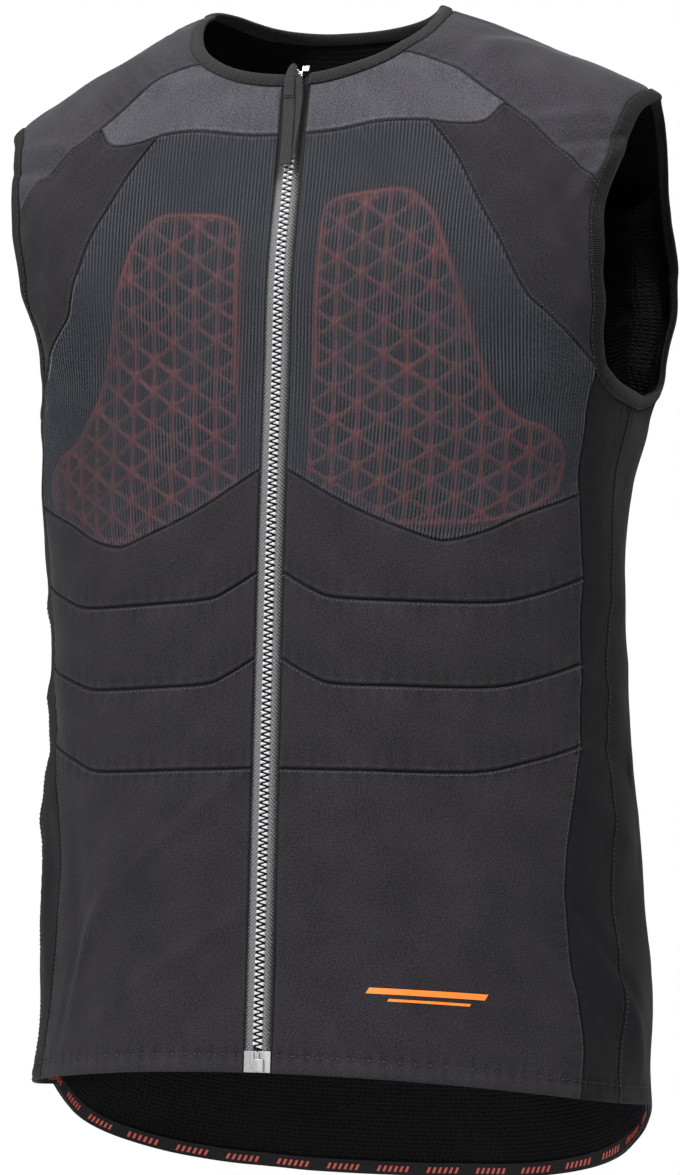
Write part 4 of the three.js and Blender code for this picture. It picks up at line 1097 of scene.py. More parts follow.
def add_binding(name, edge, seam, material, closed):
    """A knit strip rolled over an edge. Edge and seam are points in shares at the same stations."""
    section = np.array(BINDING_SECTION)
    share, height = section[:, 0][None, :, None], section[:, 1][None, :]
    shares = edge[:, None] + (seam - edge)[:, None] * share
    stations, sides = shares.shape[:2]
    run = np.concatenate([[0], np.cumsum(np.linalg.norm(np.diff(shell(seam), axis=0), axis=1))])
    ripple = 0.16 * np.sin(run * 2 * math.pi / 5.7 + 2 * np.sin(run / 17))
    pull = ripple * np.exp(-((share[..., 0] - 0.9) / 0.3) ** 2).T
    lift = height + relief(shares) + pull.T * (height > -1)
    points = (shell(shares) + normals(shares) * lift[..., None]).reshape(-1, 3)
    quads = grid_quads(stations, sides, closed=True)
    ends = ring_quads(stations, sides) if closed else cap_quads(stations, sides)
    quads = np.concatenate([quads, ends])
    round_section = np.cumsum(np.abs(np.diff(section[:, 0], prepend=1)) * 10 + 0.3)
    uv = np.stack(np.broadcast_arrays(run[:, None], round_section[None]), -1).reshape(-1, 2)
    mesh = make_mesh(name, points, outward(points, quads), uv, sharp=0)
    return add_piece(name, mesh, [material], (name,))


def add_bindings():
    low, high = zip_angle(NECK_EDGE), zip_angle(NECK_SEAM)
    t = np.linspace(0, 1, 321)
    edge = on_oval(NECK_EDGE, low + (2 * math.pi - 2 * low) * t)
    seam = on_oval(NECK_SEAM, high + (2 * math.pi - 2 * high) * t)
    add_binding("neck_binding", edge, seam, COLLAR, False)
    add_binding("armhole_binding_left", ARM_EDGE, ARM_SEAM, BINDING, True)
    add_binding("armhole_binding_right", ARM_EDGE * [-1, 1], ARM_SEAM * [-1, 1], BINDING, True)


# The zip.
TOOTH_PITCH = 3.5
TOOTH = np.array([
    # across, along
    (2.8, -1.0), (2.8, 1.0), (1.9, 0.88), (0.7, 0.52), (-0.5, 0.27), (-0.8, 0.0), (-0.5, -0.27),
    (0.7, -0.52), (1.9, -0.88),
])
TOOTH_LAYERS = [(-0.6, 1.0), (0.7, 1.0), (1.1, 0.86), (1.28, 0.58)]
TOOTH_TOP = 1.32
ZIP_TOP = float(on_oval(NECK_EDGE, 0.0)[1])
STOP_TOP = float(walk([0, 0], [0, 1], ZIP_STOP_HEIGHT)[1])


def outward(points, quads):
    """The faces of a closed body, turned out."""
    a, b, c = (points[quads[:, k]] for k in (0, 1, 2))
    d = points[quads[:, -1]]
    volume = (np.cross(a, b) * c).sum() + (np.cross(a, c) * d).sum()
    return quads if volume > 0 else quads[:, ::-1]


def zip_frame(along):
    """Places, upward and outward directions on the centre line of the zip."""
    line = np.stack([0 * along, along], -1)
    out = normals(line)
    up = unit(slopes(line)[1])
    return shell(line), up, out


def on_zip(along, x, height):
    """Points beside the zip's centre line, on the cloth there."""
    across = np.sign(x) * across_at(np.abs(x), along)
    shares = np.stack([across, along], -1)
    return shell(shares) + normals(shares) * np.asarray(height)[..., None]


def zip_stations(low, high, step):
    line = by_length(np.stack([np.zeros(200), np.linspace(low, high, 200)], -1))
    count = int(line_length(line) / step)
    return read(line, (np.arange(count) + 0.5) / count)[:, 1]


# Painted shade on each tape from under the teeth to its cloth edge: darkest under the teeth and darker
# towards the cloth edge, where the panels shade it, lighter between.
TAPE_REACH = [0.0, 2.4, 2.9, 4.2, 6.6, 8.0]
TAPE_PAINTED_SHADE = {
    "zip_tape_left": [-1, -1, 0.25, 0.0, -0.35, -0.8],
    "zip_tape_right": [-1, -1, 0.3, 0.1, 0.0, -0.7],
}


def add_zip_tapes():
    reach = np.array([0.3, 1.6, 2.6, 3.0, 3.4, 4.6, 6.2, 7.4, 8.0, 8.7])
    face = np.array([-0.5, -0.5, -0.45, -0.1, -0.35, -0.4, -0.4, -0.45, -0.75, -1.3])
    along = np.interp(np.linspace(0, 1, 230), [0, 1], [STOP_TOP, ZIP_TOP])
    for name, side in (("zip_tape_left", 1), ("zip_tape_right", -1)):
        grid_along, grid_reach = np.meshgrid(along, reach, indexing="ij")
        wave = 0.06 * np.sin(grid_along * FRONT_LENGTH * 2 * math.pi / 9)
        outer = on_zip(grid_along, side * grid_reach, face + wave)
        inner = on_zip(grid_along, side * grid_reach, face - 0.9)
        uv = np.stack([grid_reach, run_lengths(outer, 0)], -1)
        shares = np.stack([side * across_at(grid_reach, grid_along), grid_along], -1)
        painted_shade = np.interp(grid_reach, TAPE_REACH, TAPE_PAINTED_SHADE[name])
        # Painted shade on the top of the tapes, behind the slider and its strap.
        painted_shade = painted_shade - 0.55 * smooth_step((grid_along - ZIP_TOP + 0.11) / 0.04)
        mesh = two_layers(name, outer, inner, uv, painted_shade, shares)
        add_piece(name, mesh, [TAPE, TAPE], (name,))


def add_teeth():
    """Moulded teeth whose heads reach between those of the other side."""
    corners = len(TOOTH)
    middle = TOOTH.mean(0)
    rings = [middle + (TOOTH - middle) * size for _, size in TOOTH_LAYERS]
    heights = np.repeat([height for height, _ in TOOTH_LAYERS], corners)
    form = np.concatenate([np.concatenate(rings), [middle, middle]])
    heights = np.concatenate([heights, [TOOTH_TOP, -0.6]])
    body = grid_quads(len(TOOTH_LAYERS), corners, closed=True)
    k = np.arange(corners)
    last = (len(TOOTH_LAYERS) - 1) * corners
    top, base = len(form) - 2, len(form) - 1
    fans = np.concatenate([
        np.stack([last + k, last + (k + 1) % corners, 0 * k + top], -1),
        np.stack([(k + 1) % corners, k, 0 * k + base], -1),
    ])
    stations = zip_stations(STOP_TOP + 0.002, ZIP_TOP - 0.012, TOOTH_PITCH / 2)
    for name, side, start in (("zip_teeth_left", 1, 0), ("zip_teeth_right", -1, 1)):
        along = stations[start::2]
        place, up, out = zip_frame(along)
        aside = np.cross(up, out)
        points = (place[:, None] + aside[:, None] * (form[:, 0] * side)[None, :, None]
                  + up[:, None] * form[:, 1][None, :, None] + out[:, None] * heights[None, :, None])
        count = len(form)
        shift = (np.arange(len(along)) * count)[:, None, None]
        faces = [(shift + body).reshape(-1, 4), (shift + fans).reshape(-1, 3)]
        if side > 0:
            faces = [part[:, ::-1] for part in faces]
        mesh = make_mesh(name, points.reshape(-1, 3), faces, np.tile(form, (len(along), 1)), sharp=45)
        add_piece(name, mesh, [TEETH], (name,))


def local_frame(along):
    """The turn and place of small parts on the zip: x across, y up the zip, z out."""
    place, up, out = zip_frame(np.array([along]))
    aside = np.cross(up, out)
    matrix = np.eye(4)
    matrix[:3, 0], matrix[:3, 1], matrix[:3, 2] = aside[0], up[0], out[0]
    matrix[:3, 3] = place[0]
    return matrix


def block(width, length, height, at, taper=1.0, bevel=0.35):
    """Points and faces of a block with round edges, narrower at its foot by taper."""
    mesh = bmesh.new()
    bmesh.ops.create_cube(mesh, size=1)
    for vert in mesh.verts:
        narrow = taper if vert.co.y < 0 else 1.0
        vert.co = Vector((vert.co.x * width * narrow, vert.co.y * length, vert.co.z * height)) + Vector(at)
    bmesh.ops.bevel(mesh, geom=list(mesh.edges), offset=bevel, segments=3, affect="EDGES", profile=0.6)
    bmesh.ops.triangulate(mesh, faces=list(mesh.faces))
    points = np.array([vert.co for vert in mesh.verts])
    mesh.verts.index_update()
    faces = np.array([[vert.index for vert in face.verts] for face in mesh.faces])
    mesh.free()
    return points, faces


def tube(path, radius, sides=10, closed=False):
    """Points and faces of a round bar along a path."""
    path = np.asarray(path, float)
    ahead = unit(np.gradient(path, axis=0))
    if closed:
        ahead = unit(np.roll(path, -1, 0) - np.roll(path, 1, 0))
    aside = unit(np.cross(ahead, [0.03, 0.02, 1.0]))
    above = np.cross(ahead, aside)
    points = (path[:, None] + circles(aside, above, sides) * radius).reshape(-1, 3)
    quads = grid_quads(len(path), sides, closed=True)
    k = np.arange(sides)
    last = (len(path) - 1) * sides
    if closed:
        return points, cut_in_two(np.concatenate([quads, ring_quads(len(path), sides)]))
    points = np.concatenate([points, path[:1], path[-1:]])
    caps = np.concatenate([np.stack([(k + 1) % sides, k, 0 * k + len(points) - 2], -1),
                           np.stack([last + k, last + (k + 1) % sides, 0 * k + len(points) - 1], -1)])
    return points, np.concatenate([cut_in_two(quads), caps])


def joined(parts):
    """One set of points and faces from several."""
    points, faces, base = [], [], 0
    for some_points, some_faces in parts:
        points.append(some_points)
        faces.append(outward(some_points, some_faces) + base)
        base += len(some_points)
    return np.concatenate(points), np.concatenate(faces)


def set_on_zip(name, parts, along, material, sharp=40):
    points, faces = joined(parts)
    matrix = local_frame(along)
    world = points @ matrix[:3, :3].T + matrix[:3, 3]
    mesh = make_mesh(name, world, faces, points[:, :2], sharp=sharp)
    return add_piece(name, mesh, [material], (name,))


def ribbon(path, width, thick, tilt=0.0):
    """A flat strap along a path, its width across the path, with soft edges."""
    path = np.asarray(path, float)
    width = np.broadcast_to(width, len(path))
    ahead = unit(np.gradient(path, axis=0))
    aside = unit(np.cross(ahead, np.array([0, 0.001, 1.0])))
    aside = unit(aside + np.array([0, 0, tilt]))
    above = np.cross(aside, ahead)
    section = np.array([
        (-1, 0), (-0.94, 0.42), (-0.8, 0.5), (-0.3, 0.46), (0.3, 0.46), (0.8, 0.5), (0.94, 0.42),
        (1, 0), (0.94, -0.42), (0.8, -0.5), (-0.8, -0.5), (-0.94, -0.42),
    ])
    half = section[:, 0][None, :, None] * (width / 2)[:, None, None] * aside[:, None]
    points = path[:, None] + half + section[:, 1][None, :, None] * thick * above[:, None]
    sides = len(section)
    quads = np.concatenate([grid_quads(len(path), sides, closed=True), cap_quads(len(path), sides)])
    return points.reshape(-1, 3), cut_in_two(quads)


def add_slider():
    """A cast slider with a bridge and ring, and a doubled cloth strap looped through the ring."""
    foot = float(walk([0, ZIP_TOP], [0, -1], SLIDER_LENGTH)[1])
    length, width, top = SLIDER_LENGTH, SLIDER_WIDTH, 1.3 + SLIDER_HEIGHT
    bridge = arc([(0, 1.6, 2.9), (0, 2.2, 4.4), (0, 4.2, top - 0.6), (0, 7.2, top - 0.7),
                  (0, 9.2, 4.2), (0, 9.6, 2.9)], 28)
    turn = np.linspace(0, 2 * math.pi, 29)[:-1]
    ring = np.stack([2.6 * np.sin(turn) + 0.5, 8.6 + 2.3 * np.cos(turn), 4.6 + 1.2 * np.cos(turn)], -1)
    parts = [
        block(width, length, 1.2, (0, length / 2, 2.4), taper=0.72, bevel=0.5),
        block(1.0, length * 0.86, 1.6, (-width / 2 + 0.6, length / 2 + 0.5, 1.7)),
        block(1.0, length * 0.86, 1.6, (width / 2 - 0.6, length / 2 + 0.5, 1.7)),
        block(4.4, 3.6, 2.2, (6.0, length + 1.5, 2.2), bevel=0.6),
        tube(bridge, 0.75),
        tube(ring, 0.5, closed=True),
    ]
    set_on_zip("zip_slider", parts, foot, SLIDER)
    front = arc([(1.4, 6.6, 5.6), (1.2, 10.4, 6.3), (0.0, 13.0, 6.7), (-1.5, 9.6, 7.0), (-2.1, 3.0, 6.4),
                 (-2.0, -4.0, 5.0), (-1.4, -14, 4.0), (-0.8, -30, 3.6), (-0.4, -PULL_LENGTH, 3.3)], 120)
    back = arc([(2.2, 6.2, 5.2), (3.0, 1.0, 4.8), (3.3, -6.0, 3.4), (3.0, -16, 2.6), (2.2, -28, 2.3),
                (1.2, -PULL_LENGTH + 3, 2.1)], 80)
    t = np.linspace(0, 1, 120)
    wide = np.interp(t, [0, 0.22, 0.38, 0.5, 1], [2.2, 2.2, 4.2, PULL_WIDTH - 0.4, PULL_WIDTH])
    strap = [ribbon(front, wide, 1.5), ribbon(back, 6.0, 1.0, tilt=-0.15)]
    for y in (-5.5, -7.0):
        strap.append(tube([(-4.6, y, 5.55), (-2, y, 5.75), (1.0, y, 5.5)], 0.22, 6))
    set_on_zip("zip_pull", strap, foot, STRAP)


def add_zip_stop():
    """Clear film over the tape's ends, with the box and pin that join the two sides."""
    height = ZIP_STOP_HEIGHT
    parts = [
        block(7.6, height - 0.6, 0.7, (-4.05, height / 2, 0.0), bevel=0.2),
        block(7.6, height - 0.6, 0.7, (4.05, height / 2, 0.0), bevel=0.2),
        block(6.4, 7.2, 2.2, (1.0, 4.1, 1.0), bevel=0.5),
        block(1.8, height - 3, 1.5, (-2.6, height / 2 + 1.2, 0.8), bevel=0.4),
        block(1.7, height - 8, 1.3, (0.6, height - 3.2, 0.9), bevel=0.4),
    ]
    set_on_zip("zip_stop", parts, 0.0, STOP)


# A chest protector: a plate pierced by triangles between ribs that run in three directions.
PAD_BOTTOM_EDGE = [[0, 0.06], [0.05, 0], [0.6, 0], [0.84, 0.05], [0.97, 0.13]]
PAD_OUTER_EDGE = [
    [0.97, 0.13], [0.99, 0.24], [0.92, 0.31], [0.8, 0.34], [0.72, 0.39], [0.65, 0.5], [0.59, 0.66],
    [0.52, 0.82], [0.46, 0.93],
]
PAD_TOP_EDGE = [[0, 0.94], [0.06, 0.985], [0.2, 1.0], [0.36, 1.0], [0.46, 0.93]]
RIB_PITCH = 14.6
RIB_HALF = 1.35
BOSS = 3.1
PAD_RIM = 4.6
PAD_CELL = 1.15
PAD_ROUND = 1.7
PAD_SHIFT = {1: [0, 0], -1: [0.016, -0.011]}


def pad_outline():
    """The pad's edge in millimetres, out from the centre and up."""
    bottom, outer, top = (arc(edge, 10 * (len(edge) - 1) + 1)
                          for edge in (PAD_BOTTOM_EDGE, PAD_OUTER_EDGE, PAD_TOP_EDGE))
    return smoothed(np.concatenate([bottom, outer, top[::-1]]) * [PAD_WIDTH, PAD_HEIGHT], 6)


def outline_distance(points, outline):
    """Distance inside a closed outline, negative outside it."""
    start, end = outline, np.roll(outline, -1, 0)
    nearest = np.full(len(points), 1e9)
    inside = np.zeros(len(points), bool)
    for a, b in zip(start, end):
        edge = b - a
        t = np.clip(((points - a) @ edge) / max(edge @ edge, 1e-9), 0, 1)
        nearest = np.minimum(nearest, np.linalg.norm(points - a - t[:, None] * edge, axis=1))
        crosses = (a[1] > points[:, 1]) != (b[1] > points[:, 1])
        if crosses.any():
            inside ^= crosses & (points[:, 0] < a[0] + (points[:, 1] - a[1]) * edge[0] / (edge[1] + 1e-12))
    return np.where(inside, nearest, -nearest)


def pad_solid(points, outline):
    """Distance inside the pad's ribs, rim and bosses."""
    edge = outline_distance(points, outline)
    best = np.full(len(points), -1e9)
    for angle in (0, 120, 240):
        way = np.array([math.cos(math.radians(angle)), math.sin(math.radians(angle))])
        steps = (points @ way) / RIB_PITCH
        best = np.logaddexp(best * 2.6, (RIB_HALF - np.abs(steps - np.round(steps)) * RIB_PITCH) * 2.6) / 2.6
    side = RIB_PITCH / math.cos(math.radians(30))
    row = points[:, 0] / RIB_PITCH
    offset = np.where(np.round(row) % 2 == 0, 0.0, 0.5)
    up = points[:, 1] / side - offset
    near = np.stack([(row - np.round(row)) * RIB_PITCH, (up - np.round(up)) * side], -1)
    best = np.maximum(best, BOSS - np.linalg.norm(near, axis=1))
    open_edge = np.clip((PAD_HEIGHT * 0.5 - points[:, 1]) / 12, 0, 1) * np.clip((26 - points[:, 0]) / 8, 0, 1)
    best = np.maximum(best, PAD_RIM * (1 - open_edge) - edge - 0.5)
    return np.minimum(best, edge)


def on_chest(flat):
    """Shares of points given in millimetres out round the chest and up it."""
    along = PAD_BOTTOM + flat[:, 1] / FRONT_LENGTH
    rows = np.linspace(PAD_BOTTOM - 0.01, PAD_BOTTOM + (PAD_HEIGHT + 10) / FRONT_LENGTH, 48)
    across = np.linspace(0, 0.98, 240)
    grid = np.stack(np.meshgrid(across, rows), -1)
    lengths = run_lengths(shell(grid), 1)
    out = flat[:, 0] + PAD_FROM_CENTRE
    found = np.stack([np.interp(out, row, across) for row in lengths])
    place = (along - rows[0]) / (rows[1] - rows[0])
    low = np.clip(place.astype(int), 0, len(rows) - 2)
    share = place - low
    k = np.arange(len(out))
    return np.stack([found[low, k] * (1 - share) + found[low + 1, k] * share, along], -1)


def pad_grid():
    """Points and faces of the pad's plan, its border moved onto the edges of its ribs."""
    outline = pad_outline()
    x = np.arange(-2, PAD_WIDTH + 2, PAD_CELL)
    y = np.arange(-2, PAD_HEIGHT + 2, PAD_CELL)
    points = np.stack(np.meshgrid(x, y), -1).reshape(-1, 2)
    for _ in range(3):
        depth = pad_solid(points, outline)
        step = 0.05
        rises = [pad_solid(points + way, outline) - pad_solid(points - way, outline)
                 for way in (np.array([step, 0]), np.array([0, step]))]
        slope = np.stack(rises, -1) / (2 * step)
        near = np.abs(depth) < PAD_CELL * 0.62
        move = -depth[:, None] * slope / np.maximum((slope**2).sum(-1, keepdims=True), 0.2)
        points = np.where(near[:, None], points + np.clip(move, -0.8, 0.8), points)
    depth = pad_solid(points, outline)
    quads = grid_quads(len(y), len(x))
    solid = depth > -0.12
    whole = solid[quads].all(1)
    faces = np.concatenate([quads[whole][:, :3], quads[whole][:, [0, 2, 3]]])
    corner = quads[solid[quads].sum(1) == 3]
    kept = [[k for k in quad if solid[k]] for quad in corner]
    faces = np.concatenate([faces, np.array(kept)])
    used, faces = np.unique(faces, return_inverse=True)
    return points[used], np.maximum(depth[used], 0), faces.reshape(-1, 3)


def add_chest_pads():
    flat, depth, faces = pad_grid()
    shares = on_chest(flat)
    count = len(flat)
    to_round = PAD_ROUND - np.minimum(depth, PAD_ROUND)
    edge_round = PAD_ROUND - np.sqrt(np.clip(PAD_ROUND**2 - to_round**2, 0, None))
    height = -PAD_DEPTH - edge_round
    floor = -PAD_DEPTH - PAD_THICK + 0.4 * edge_round
    edges = np.concatenate([faces[:, [0, 1]], faces[:, [1, 2]], faces[:, [2, 0]]])
    keys = edges[:, 0].astype(np.int64) * count + edges[:, 1]
    back = edges[:, 1].astype(np.int64) * count + edges[:, 0]
    border = edges[~np.isin(keys, back)]
    walls = np.concatenate([np.stack([border[:, 0], border[:, 0] + count, border[:, 1]], -1),
                            np.stack([border[:, 1], border[:, 0] + count, border[:, 1] + count], -1)])
    every = np.concatenate([faces, faces[:, ::-1] + count, walls])
    # Painted light and shade: the broad tops of the pad lighter, its rounded edges, the walls of its holes
    # and its back darker.
    tone = np.concatenate([0.6 * smooth_step((depth - 0.6) / 2.0) - 0.2, 0 * depth - 0.2])
    uv = np.concatenate([flat, flat])
    for ending, side in SIDES:
        name = "chest_protector" + ending
        there = (shares + PAD_SHIFT[side]) * [side, 1]
        place, out, base = shell(there), normals(there), relief(there)
        points = np.concatenate([place + out * (level + base)[:, None] for level in (height, floor)])
        mesh = make_mesh(name, points, outward(points, every), uv, tone, sharp=0)
        add_piece(name, mesh, [PAD], (name,))


def border_distance(place):
    u, v = run_lengths(place, 1), run_lengths(place, 0)
    return np.minimum(np.minimum(u, u[:, -1:] - u), np.minimum(v, v[-1:] - v))


LINING_FACE = 1.9  # from the cloth's face in to a lining at its border


def add_pocket_linings():
    """A pocket behind each chest protector, gathered where it bellies in."""
    right = chain((side_of_upper_band, 2), (mesh_side, 3), (mesh_outer, 10))
    left = zip_run(ZIP_SEAM["upper"], ZIP_SEAM["yoke"])
    u, v = graded(150, 3.4), graded(240, 3.4)
    half = fill(upper_seam, right, yoke_seam, left, u, v)
    for ending, side in SIDES:
        name = "pocket_lining" + ending
        shares = half * [side, 1]
        place = shell(shares)
        belly = smooth_step(border_distance(place) / 9.5)
        creases = 0.5 * noise(place, SMALL) * belly
        depth = (PAD_DEPTH + PAD_THICK + POCKET_ROOM - LINING_FACE) * belly
        lift = relief(shares) - LINING_FACE - depth - 0.5 * belly + creases
        add_piece(name, sheet(name, shares, lift, lift - LINING), [POCKET, POCKET], (name,))


def back_part(columns, rows, step):
    """Points over a part of the back panel, between shares of its width and height."""
    edge = chain((back_side_seam, 8), (flip(arm_run(AT_BACK_YOKE, AT_BACK_SIDE)), 10))
    bottom = across_centre(spline([0, 2], BACK_SIDE_SEAM[0]))
    u = columns[0] + (columns[1] - columns[0]) * graded(280, step)
    v = rows[0] + (rows[1] - rows[0]) * graded(420, step)
    return fill(bottom, edge, across_centre(back_yoke_seam), mirror_line(edge), u, v)


def add_back_protector():
    """A thick back plate of joined cells, and the lining that holds it."""
    shares = back_part((0.2, 0.8), (4 / 18, 15 / 18), 4.0)
    place = shell(shares)
    away = border_distance(place)
    u, v = run_lengths(place, 1), run_lengths(place, 0)
    u -= u[:, -1:] / 2
    cells = np.minimum(np.abs(np.sin(v * math.pi / 36)), np.abs(np.sin(u * math.pi / 44)))
    face = -CLOTH - 0.4 - 2.2 * (1 - smooth_step(cells / 0.18)) - 3 * (1 - smooth_step(away / 8))
    back = -CLOTH - 0.4 - BACK_PAD_THICK * (0.6 + 0.38 * smooth_step(away / 12))
    uv = np.stack([u, v], -1)
    base = relief(shares)
    mesh = sheet("back_protector", shares, face + base, back + base, uv=uv)
    add_piece("back_protector", mesh, [PAD, PAD], ("back_protector",))
    shares = back_part((0.1, 0.9), (3 / 18, 16 / 18), 4.0)
    place = shell(shares)
    belly = smooth_step(border_distance(place) / 15)
    depth = (BACK_PAD_THICK + 0.8) * belly
    lift = relief(shares) - LINING_FACE - depth + 0.5 * noise(place, SMALL) * belly
    mesh = sheet("back_lining", shares, lift, lift - LINING)
    add_piece("back_lining", mesh, [POCKET, INSIDE], ("back_lining",))


# The tape inside the tail's hem and its woven marks.
TAIL_ENDS = 1.17
DASH = 1.7
DASH_PITCH = 3.7
DASH_GROUP = 33.0
DASHES = 6
TAIL_LINE = level_line(-TAIL_ENDS, TAIL_ENDS, 2.0, 400)
TAIL_RUN = line_length(TAIL_LINE)


def tail_points(run, up):
    """Points on the tail by length along the hem and height above it, in shares."""
    shares = read(TAIL_LINE, run / TAIL_RUN)
    rise = np.linalg.norm(slopes(shares)[1], axis=-1)
    shares[..., 1] -= up / rise
    return shares


def add_tail_tape():
    run, up = np.meshgrid(np.linspace(0, TAIL_RUN, 260), np.array([0.4, 0.9, 2.5, 4.5, 6.5, 8.4, 9.0]))
    shares = tail_points(run, up)
    ripple = 0.12 * np.sin(run * 2 * math.pi / 7.3 + np.sin(run / 13))
    lift = relief(shares) - CLOTH - 0.35 + ripple * (up > 5)
    mesh = sheet("tail_hem_tape", shares, lift, lift - 0.8, uv=np.stack([run, up], -1))
    add_piece("tail_hem_tape", mesh, [HEM_TAPE, HEM_TAPE], ("tail_hem_tape",))
    parts = []
    for start in np.arange(DASH_GROUP / 2, TAIL_RUN - DASH_GROUP, DASH_GROUP):
        for k in range(DASHES):
            parts.append(slanted_dash(start + k * DASH_PITCH))
    add_added("tail_marks", parts, RED)


def add_added(name, parts, material, sharp=40):
    """Small parts on the cloth, as one piece that stands for no solid."""
    points, faces = joined(parts)
    add_piece(name, make_mesh(name, points, faces, points[:, :2], sharp=sharp), [material])


def slanted_dash(start):
    low, high, slant = 2.6, 6.3, 1.8
    t = np.linspace(0, 1, 4)
    up, wide = np.meshgrid(low + (high - low) * t, DASH * t, indexing="ij")
    shares = tail_points(start + wide + slant * (up - low) / (high - low), up)
    return thin_sheet(shares, relief(shares) - CLOTH - 1.3, 0.2)


def thin_sheet(shares, lift, thick):
    """Points and triangles of a thin plate over rows of points."""
    place, out = shell(shares), normals(shares)
    rows, columns = lift.shape
    base = rows * columns
    lift = np.broadcast_to(lift, (rows, columns))
    face = grid_quads(rows, columns)
    quads = np.concatenate([face, face[:, ::-1] + base, rim_quads(rows, columns, base)])
    points = np.concatenate([(place + out * (lift + thick / 2)[..., None]).reshape(-1, 3),
                             (place + out * (lift - thick / 2)[..., None]).reshape(-1, 3)])
    return points, cut_in_two(quads)


# A plain printed bar low on the wearer's left front.
BARS = [
    # start across, width, height, along, slant: in millimetres but for the first and fourth
    (0.186, 30, 3.4, 0.0815, 2.2),
    (0.262, 44, 3.4, 0.0815, 2.2),
    (0.226, 46, 1.5, 0.0735, 1.0),
]


def add_mark():
    parts = []
    for across, width, height, along, slant in BARS:
        t = np.linspace(0, 1, max(int(width / 2), 4))
        s = np.linspace(0, 1, 4)
        line = level_line(across, across + 0.4, along)
        high, wide = np.meshgrid(s, t, indexing="ij")
        shares = read(line, (wide * width + slant * high) / line_length(line))
        shares[..., 1] += (high - 0.5) * height / FRONT_LENGTH
        parts.append(thin_sheet(shares, relief(shares) + 0.12, 0.16))
    add_added("front_mark", parts, ORANGE)


def stitch_row(line, offset, pitch, lift, side=1, size=(0.62, 0.24)):
    """Small thread humps along a line. Offset is to its right."""
    fine = read(line, np.linspace(0, 1, 400))
    if side < 0:
        fine = fine * [-1, 1]
        offset = -offset
    moved = beside(fine, offset)
    path = by_length(moved)
    count = max(int(line_length(path) / pitch), 2)
    middle = read(path, (np.arange(count) + 0.5) / count)
    ahead = read(path, np.minimum((np.arange(count) + 0.6) / count, 1))
    place, out = shell(middle), normals(middle)
    way = unit(shell(ahead) - place)
    aside = np.cross(way, out)
    height = relief(middle) + lift
    half = pitch * size[0] / 2
    radius = size[1]
    ends = [(-1.0, 0.0, 0.0), (-0.8, 0.7, 0.25), (0.0, 1.0, 0.55), (0.8, 0.7, 0.25), (1.0, 0.0, 0.0)]
    rings = []
    for along, thick, rise in ends:
        centre = place + way * (along * half) + out * (height + rise * radius)[:, None]
        rings.append(centre[:, None] + circles(aside, out, 6) * (radius * max(thick, 0.25)))
    points = np.stack(rings, 1).reshape(count, -1, 3)
    body = grid_quads(len(ends), 6, closed=True)
    caps = np.array([[0, 1, 2, 3], [3, 4, 5, 0]])
    quads = np.concatenate([body, caps[:, ::-1], caps + 6 * (len(ends) - 1)])
    shift = (np.arange(count) * points.shape[1])[:, None, None]
    return points.reshape(-1, 3), (shift + quads).reshape(-1, 4)


def add_stitching(name, rows, material):
    """Rows of stitches on both sides of the vest: seam line, offset, pitch and lift."""
    add_added(name, [stitch_row(*row, side) for row in rows for side in (1, -1)], material, 0)


def hem_stitch_line(low, high, along, up):
    line = level_line(low, high, along)
    rise = np.linalg.norm(slopes(line[1])[1], axis=-1)
    moved = line[1] + np.stack([0 * rise, (up if along < 1 else -up) / rise], -1)
    return by_length(moved)


def add_all_stitching():
    arm = arm_run(0, ARMHOLE_STEPS)
    dark = [
        (mesh_bottom, -1.5, 2.6, 0.25),
        (mesh_outer, 1.6, 2.4, 0.3),
        (yoke_seam, -1.5, 2.6, 0.25),
        (chain(*SIDE_RUN), -1.6, 2.8, 0.1),
        (flank_seam, 1.6, 2.8, 0.1),
        (back_side_seam, 1.6, 2.8, 0.1),
        (back_yoke_seam, 1.7, 2.8, 0.2),
        (hem_stitch_line(across_at(ZIP_HALF_WIDTH + 2.5, 0.0), 1.0, 0.0, HEM_STITCH), 0.0, 2.9, -0.35),
        (hem_stitch_line(0.0, 1.0, 2.0, HEM_STITCH), 0.0, 2.9, -0.35),
    ]
    pale = [
        (upper_seam, 1.7, 2.7, 0.3),
        (middle_seam, 1.7, 2.7, 0.3),
        (lower_seam, 1.7, 2.7, 0.3),
        (chain((shoulder_upper, 3), (shoulder_lower, 2)), 1.6, 2.6, 0.2),
    ]
    add_stitching("seam_stitches", dark, THREAD)
    add_stitching("band_stitches", pale, PALE_THREAD)
    bound = [(arm, 0.9, 2.3, 0.35), (neck_run(zip_angle(NECK_SEAM), math.pi), -0.9, 2.3, 0.35)]
    add_stitching("binding_stitches", bound, THREAD)


AMBIENT = 0.24  # share of the white surroundings that lights the vest


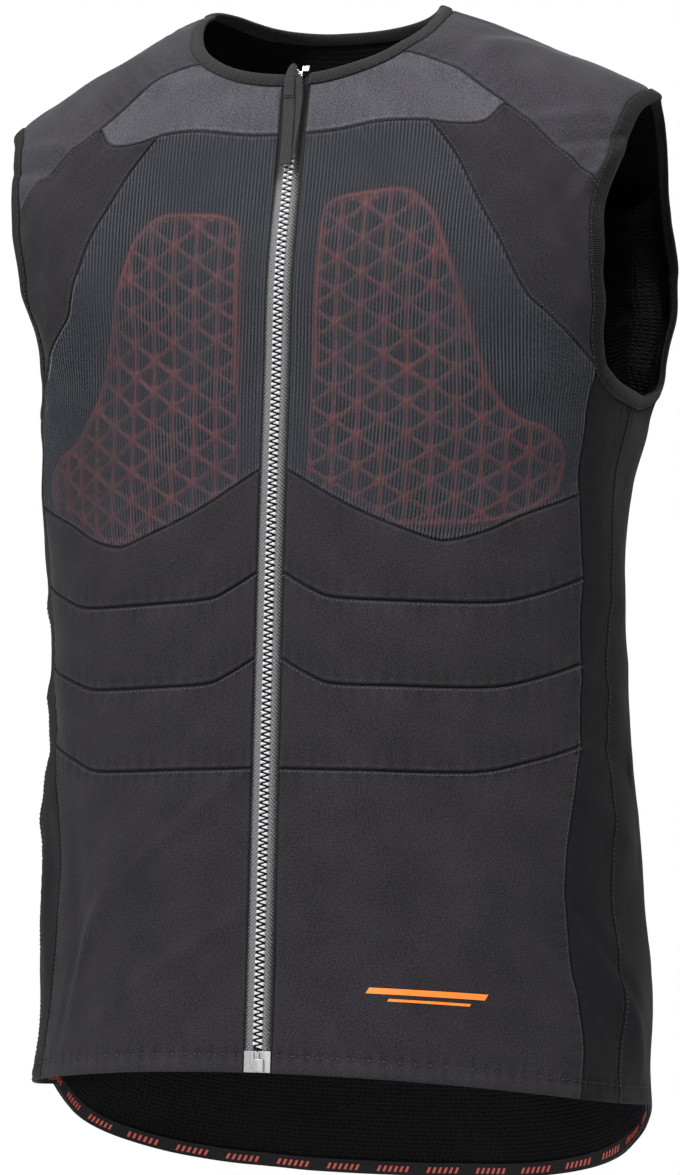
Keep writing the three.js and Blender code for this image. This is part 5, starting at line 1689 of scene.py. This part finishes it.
def add_lights():
    def soft_box(name, place, aim, width, height, power, colour=(1, 1, 1)):
        data = bpy.data.lights.new(name, "AREA")
        data.shape = "RECTANGLE"
        data.size, data.size_y = width, height
        data.energy = power
        data.color = colour
        lamp = bpy.data.objects.new(name, data)
        lamp.location = place
        lamp.rotation_euler = (Vector(aim) - Vector(place)).to_track_quat("-Z", "Y").to_euler()
        bpy.context.scene.collection.objects.link(lamp)

    middle = (0, 0, -0.35)
    soft_box("key", (-0.9, -1.7, 1.7), middle, 0.5, 0.5, 92)
    soft_box("front", (-0.6, -2.8, -0.2), middle, 0.7, 1.2, 16)
    soft_box("top", (1.2, -0.9, 1.8), (0.1, 0, -0.15), 0.6, 0.6, 66)
    soft_box("back", (-0.5, 2.2, 0.9), middle, 0.9, 0.9, 36)
    world = bpy.data.worlds.new("studio")
    world.use_nodes = True
    nodes = world.node_tree.nodes
    seen = nodes.new("ShaderNodeLightPath").outputs["Is Camera Ray"]
    strength = nodes.new("ShaderNodeMapRange")
    strength.inputs["To Min"].default_value = AMBIENT
    world.node_tree.links.new(seen, strength.inputs["Value"])
    world.node_tree.links.new(strength.outputs[0], nodes["Background"].inputs["Strength"])
    nodes["Background"].inputs["Color"].default_value = (1, 1, 1, 1)
    bpy.context.scene.world = world
    bpy.context.scene.view_settings.view_transform = "Standard"


def add_floor():
    size, level = 1.1, -0.9
    signs = ((-1, -1), (1, -1), (1, 1), (-1, 1))
    corners = np.array([[x * size, y * size, level] for x, y in signs])
    mesh = make_mesh("floor", corners / MM, np.array([[0, 1, 2, 3]]), sharp=0)
    floor = bpy.data.objects.new("floor", mesh)
    pale = moulded("floor", (0.8, 0.8, 0.8, 1), (0.84, 0.84, 0.84, 1), 0.9)
    glow = pale.node_tree.nodes["Principled BSDF"]
    glow.inputs["Emission Color"].default_value = (1, 1, 1, 1)
    glow.inputs["Emission Strength"].default_value = 0.25
    mesh.materials.append(pale)
    bpy.context.scene.collection.objects.link(floor)


place_camera()
add_front_panels()
add_side_panels()
add_back_panels()
add_bindings()
add_zip_tapes()
add_teeth()
add_slider()
add_zip_stop()
add_chest_pads()
add_pocket_linings()
add_back_protector()
add_tail_tape()
add_mark()
add_all_stitching()
add_lights()
add_floor()
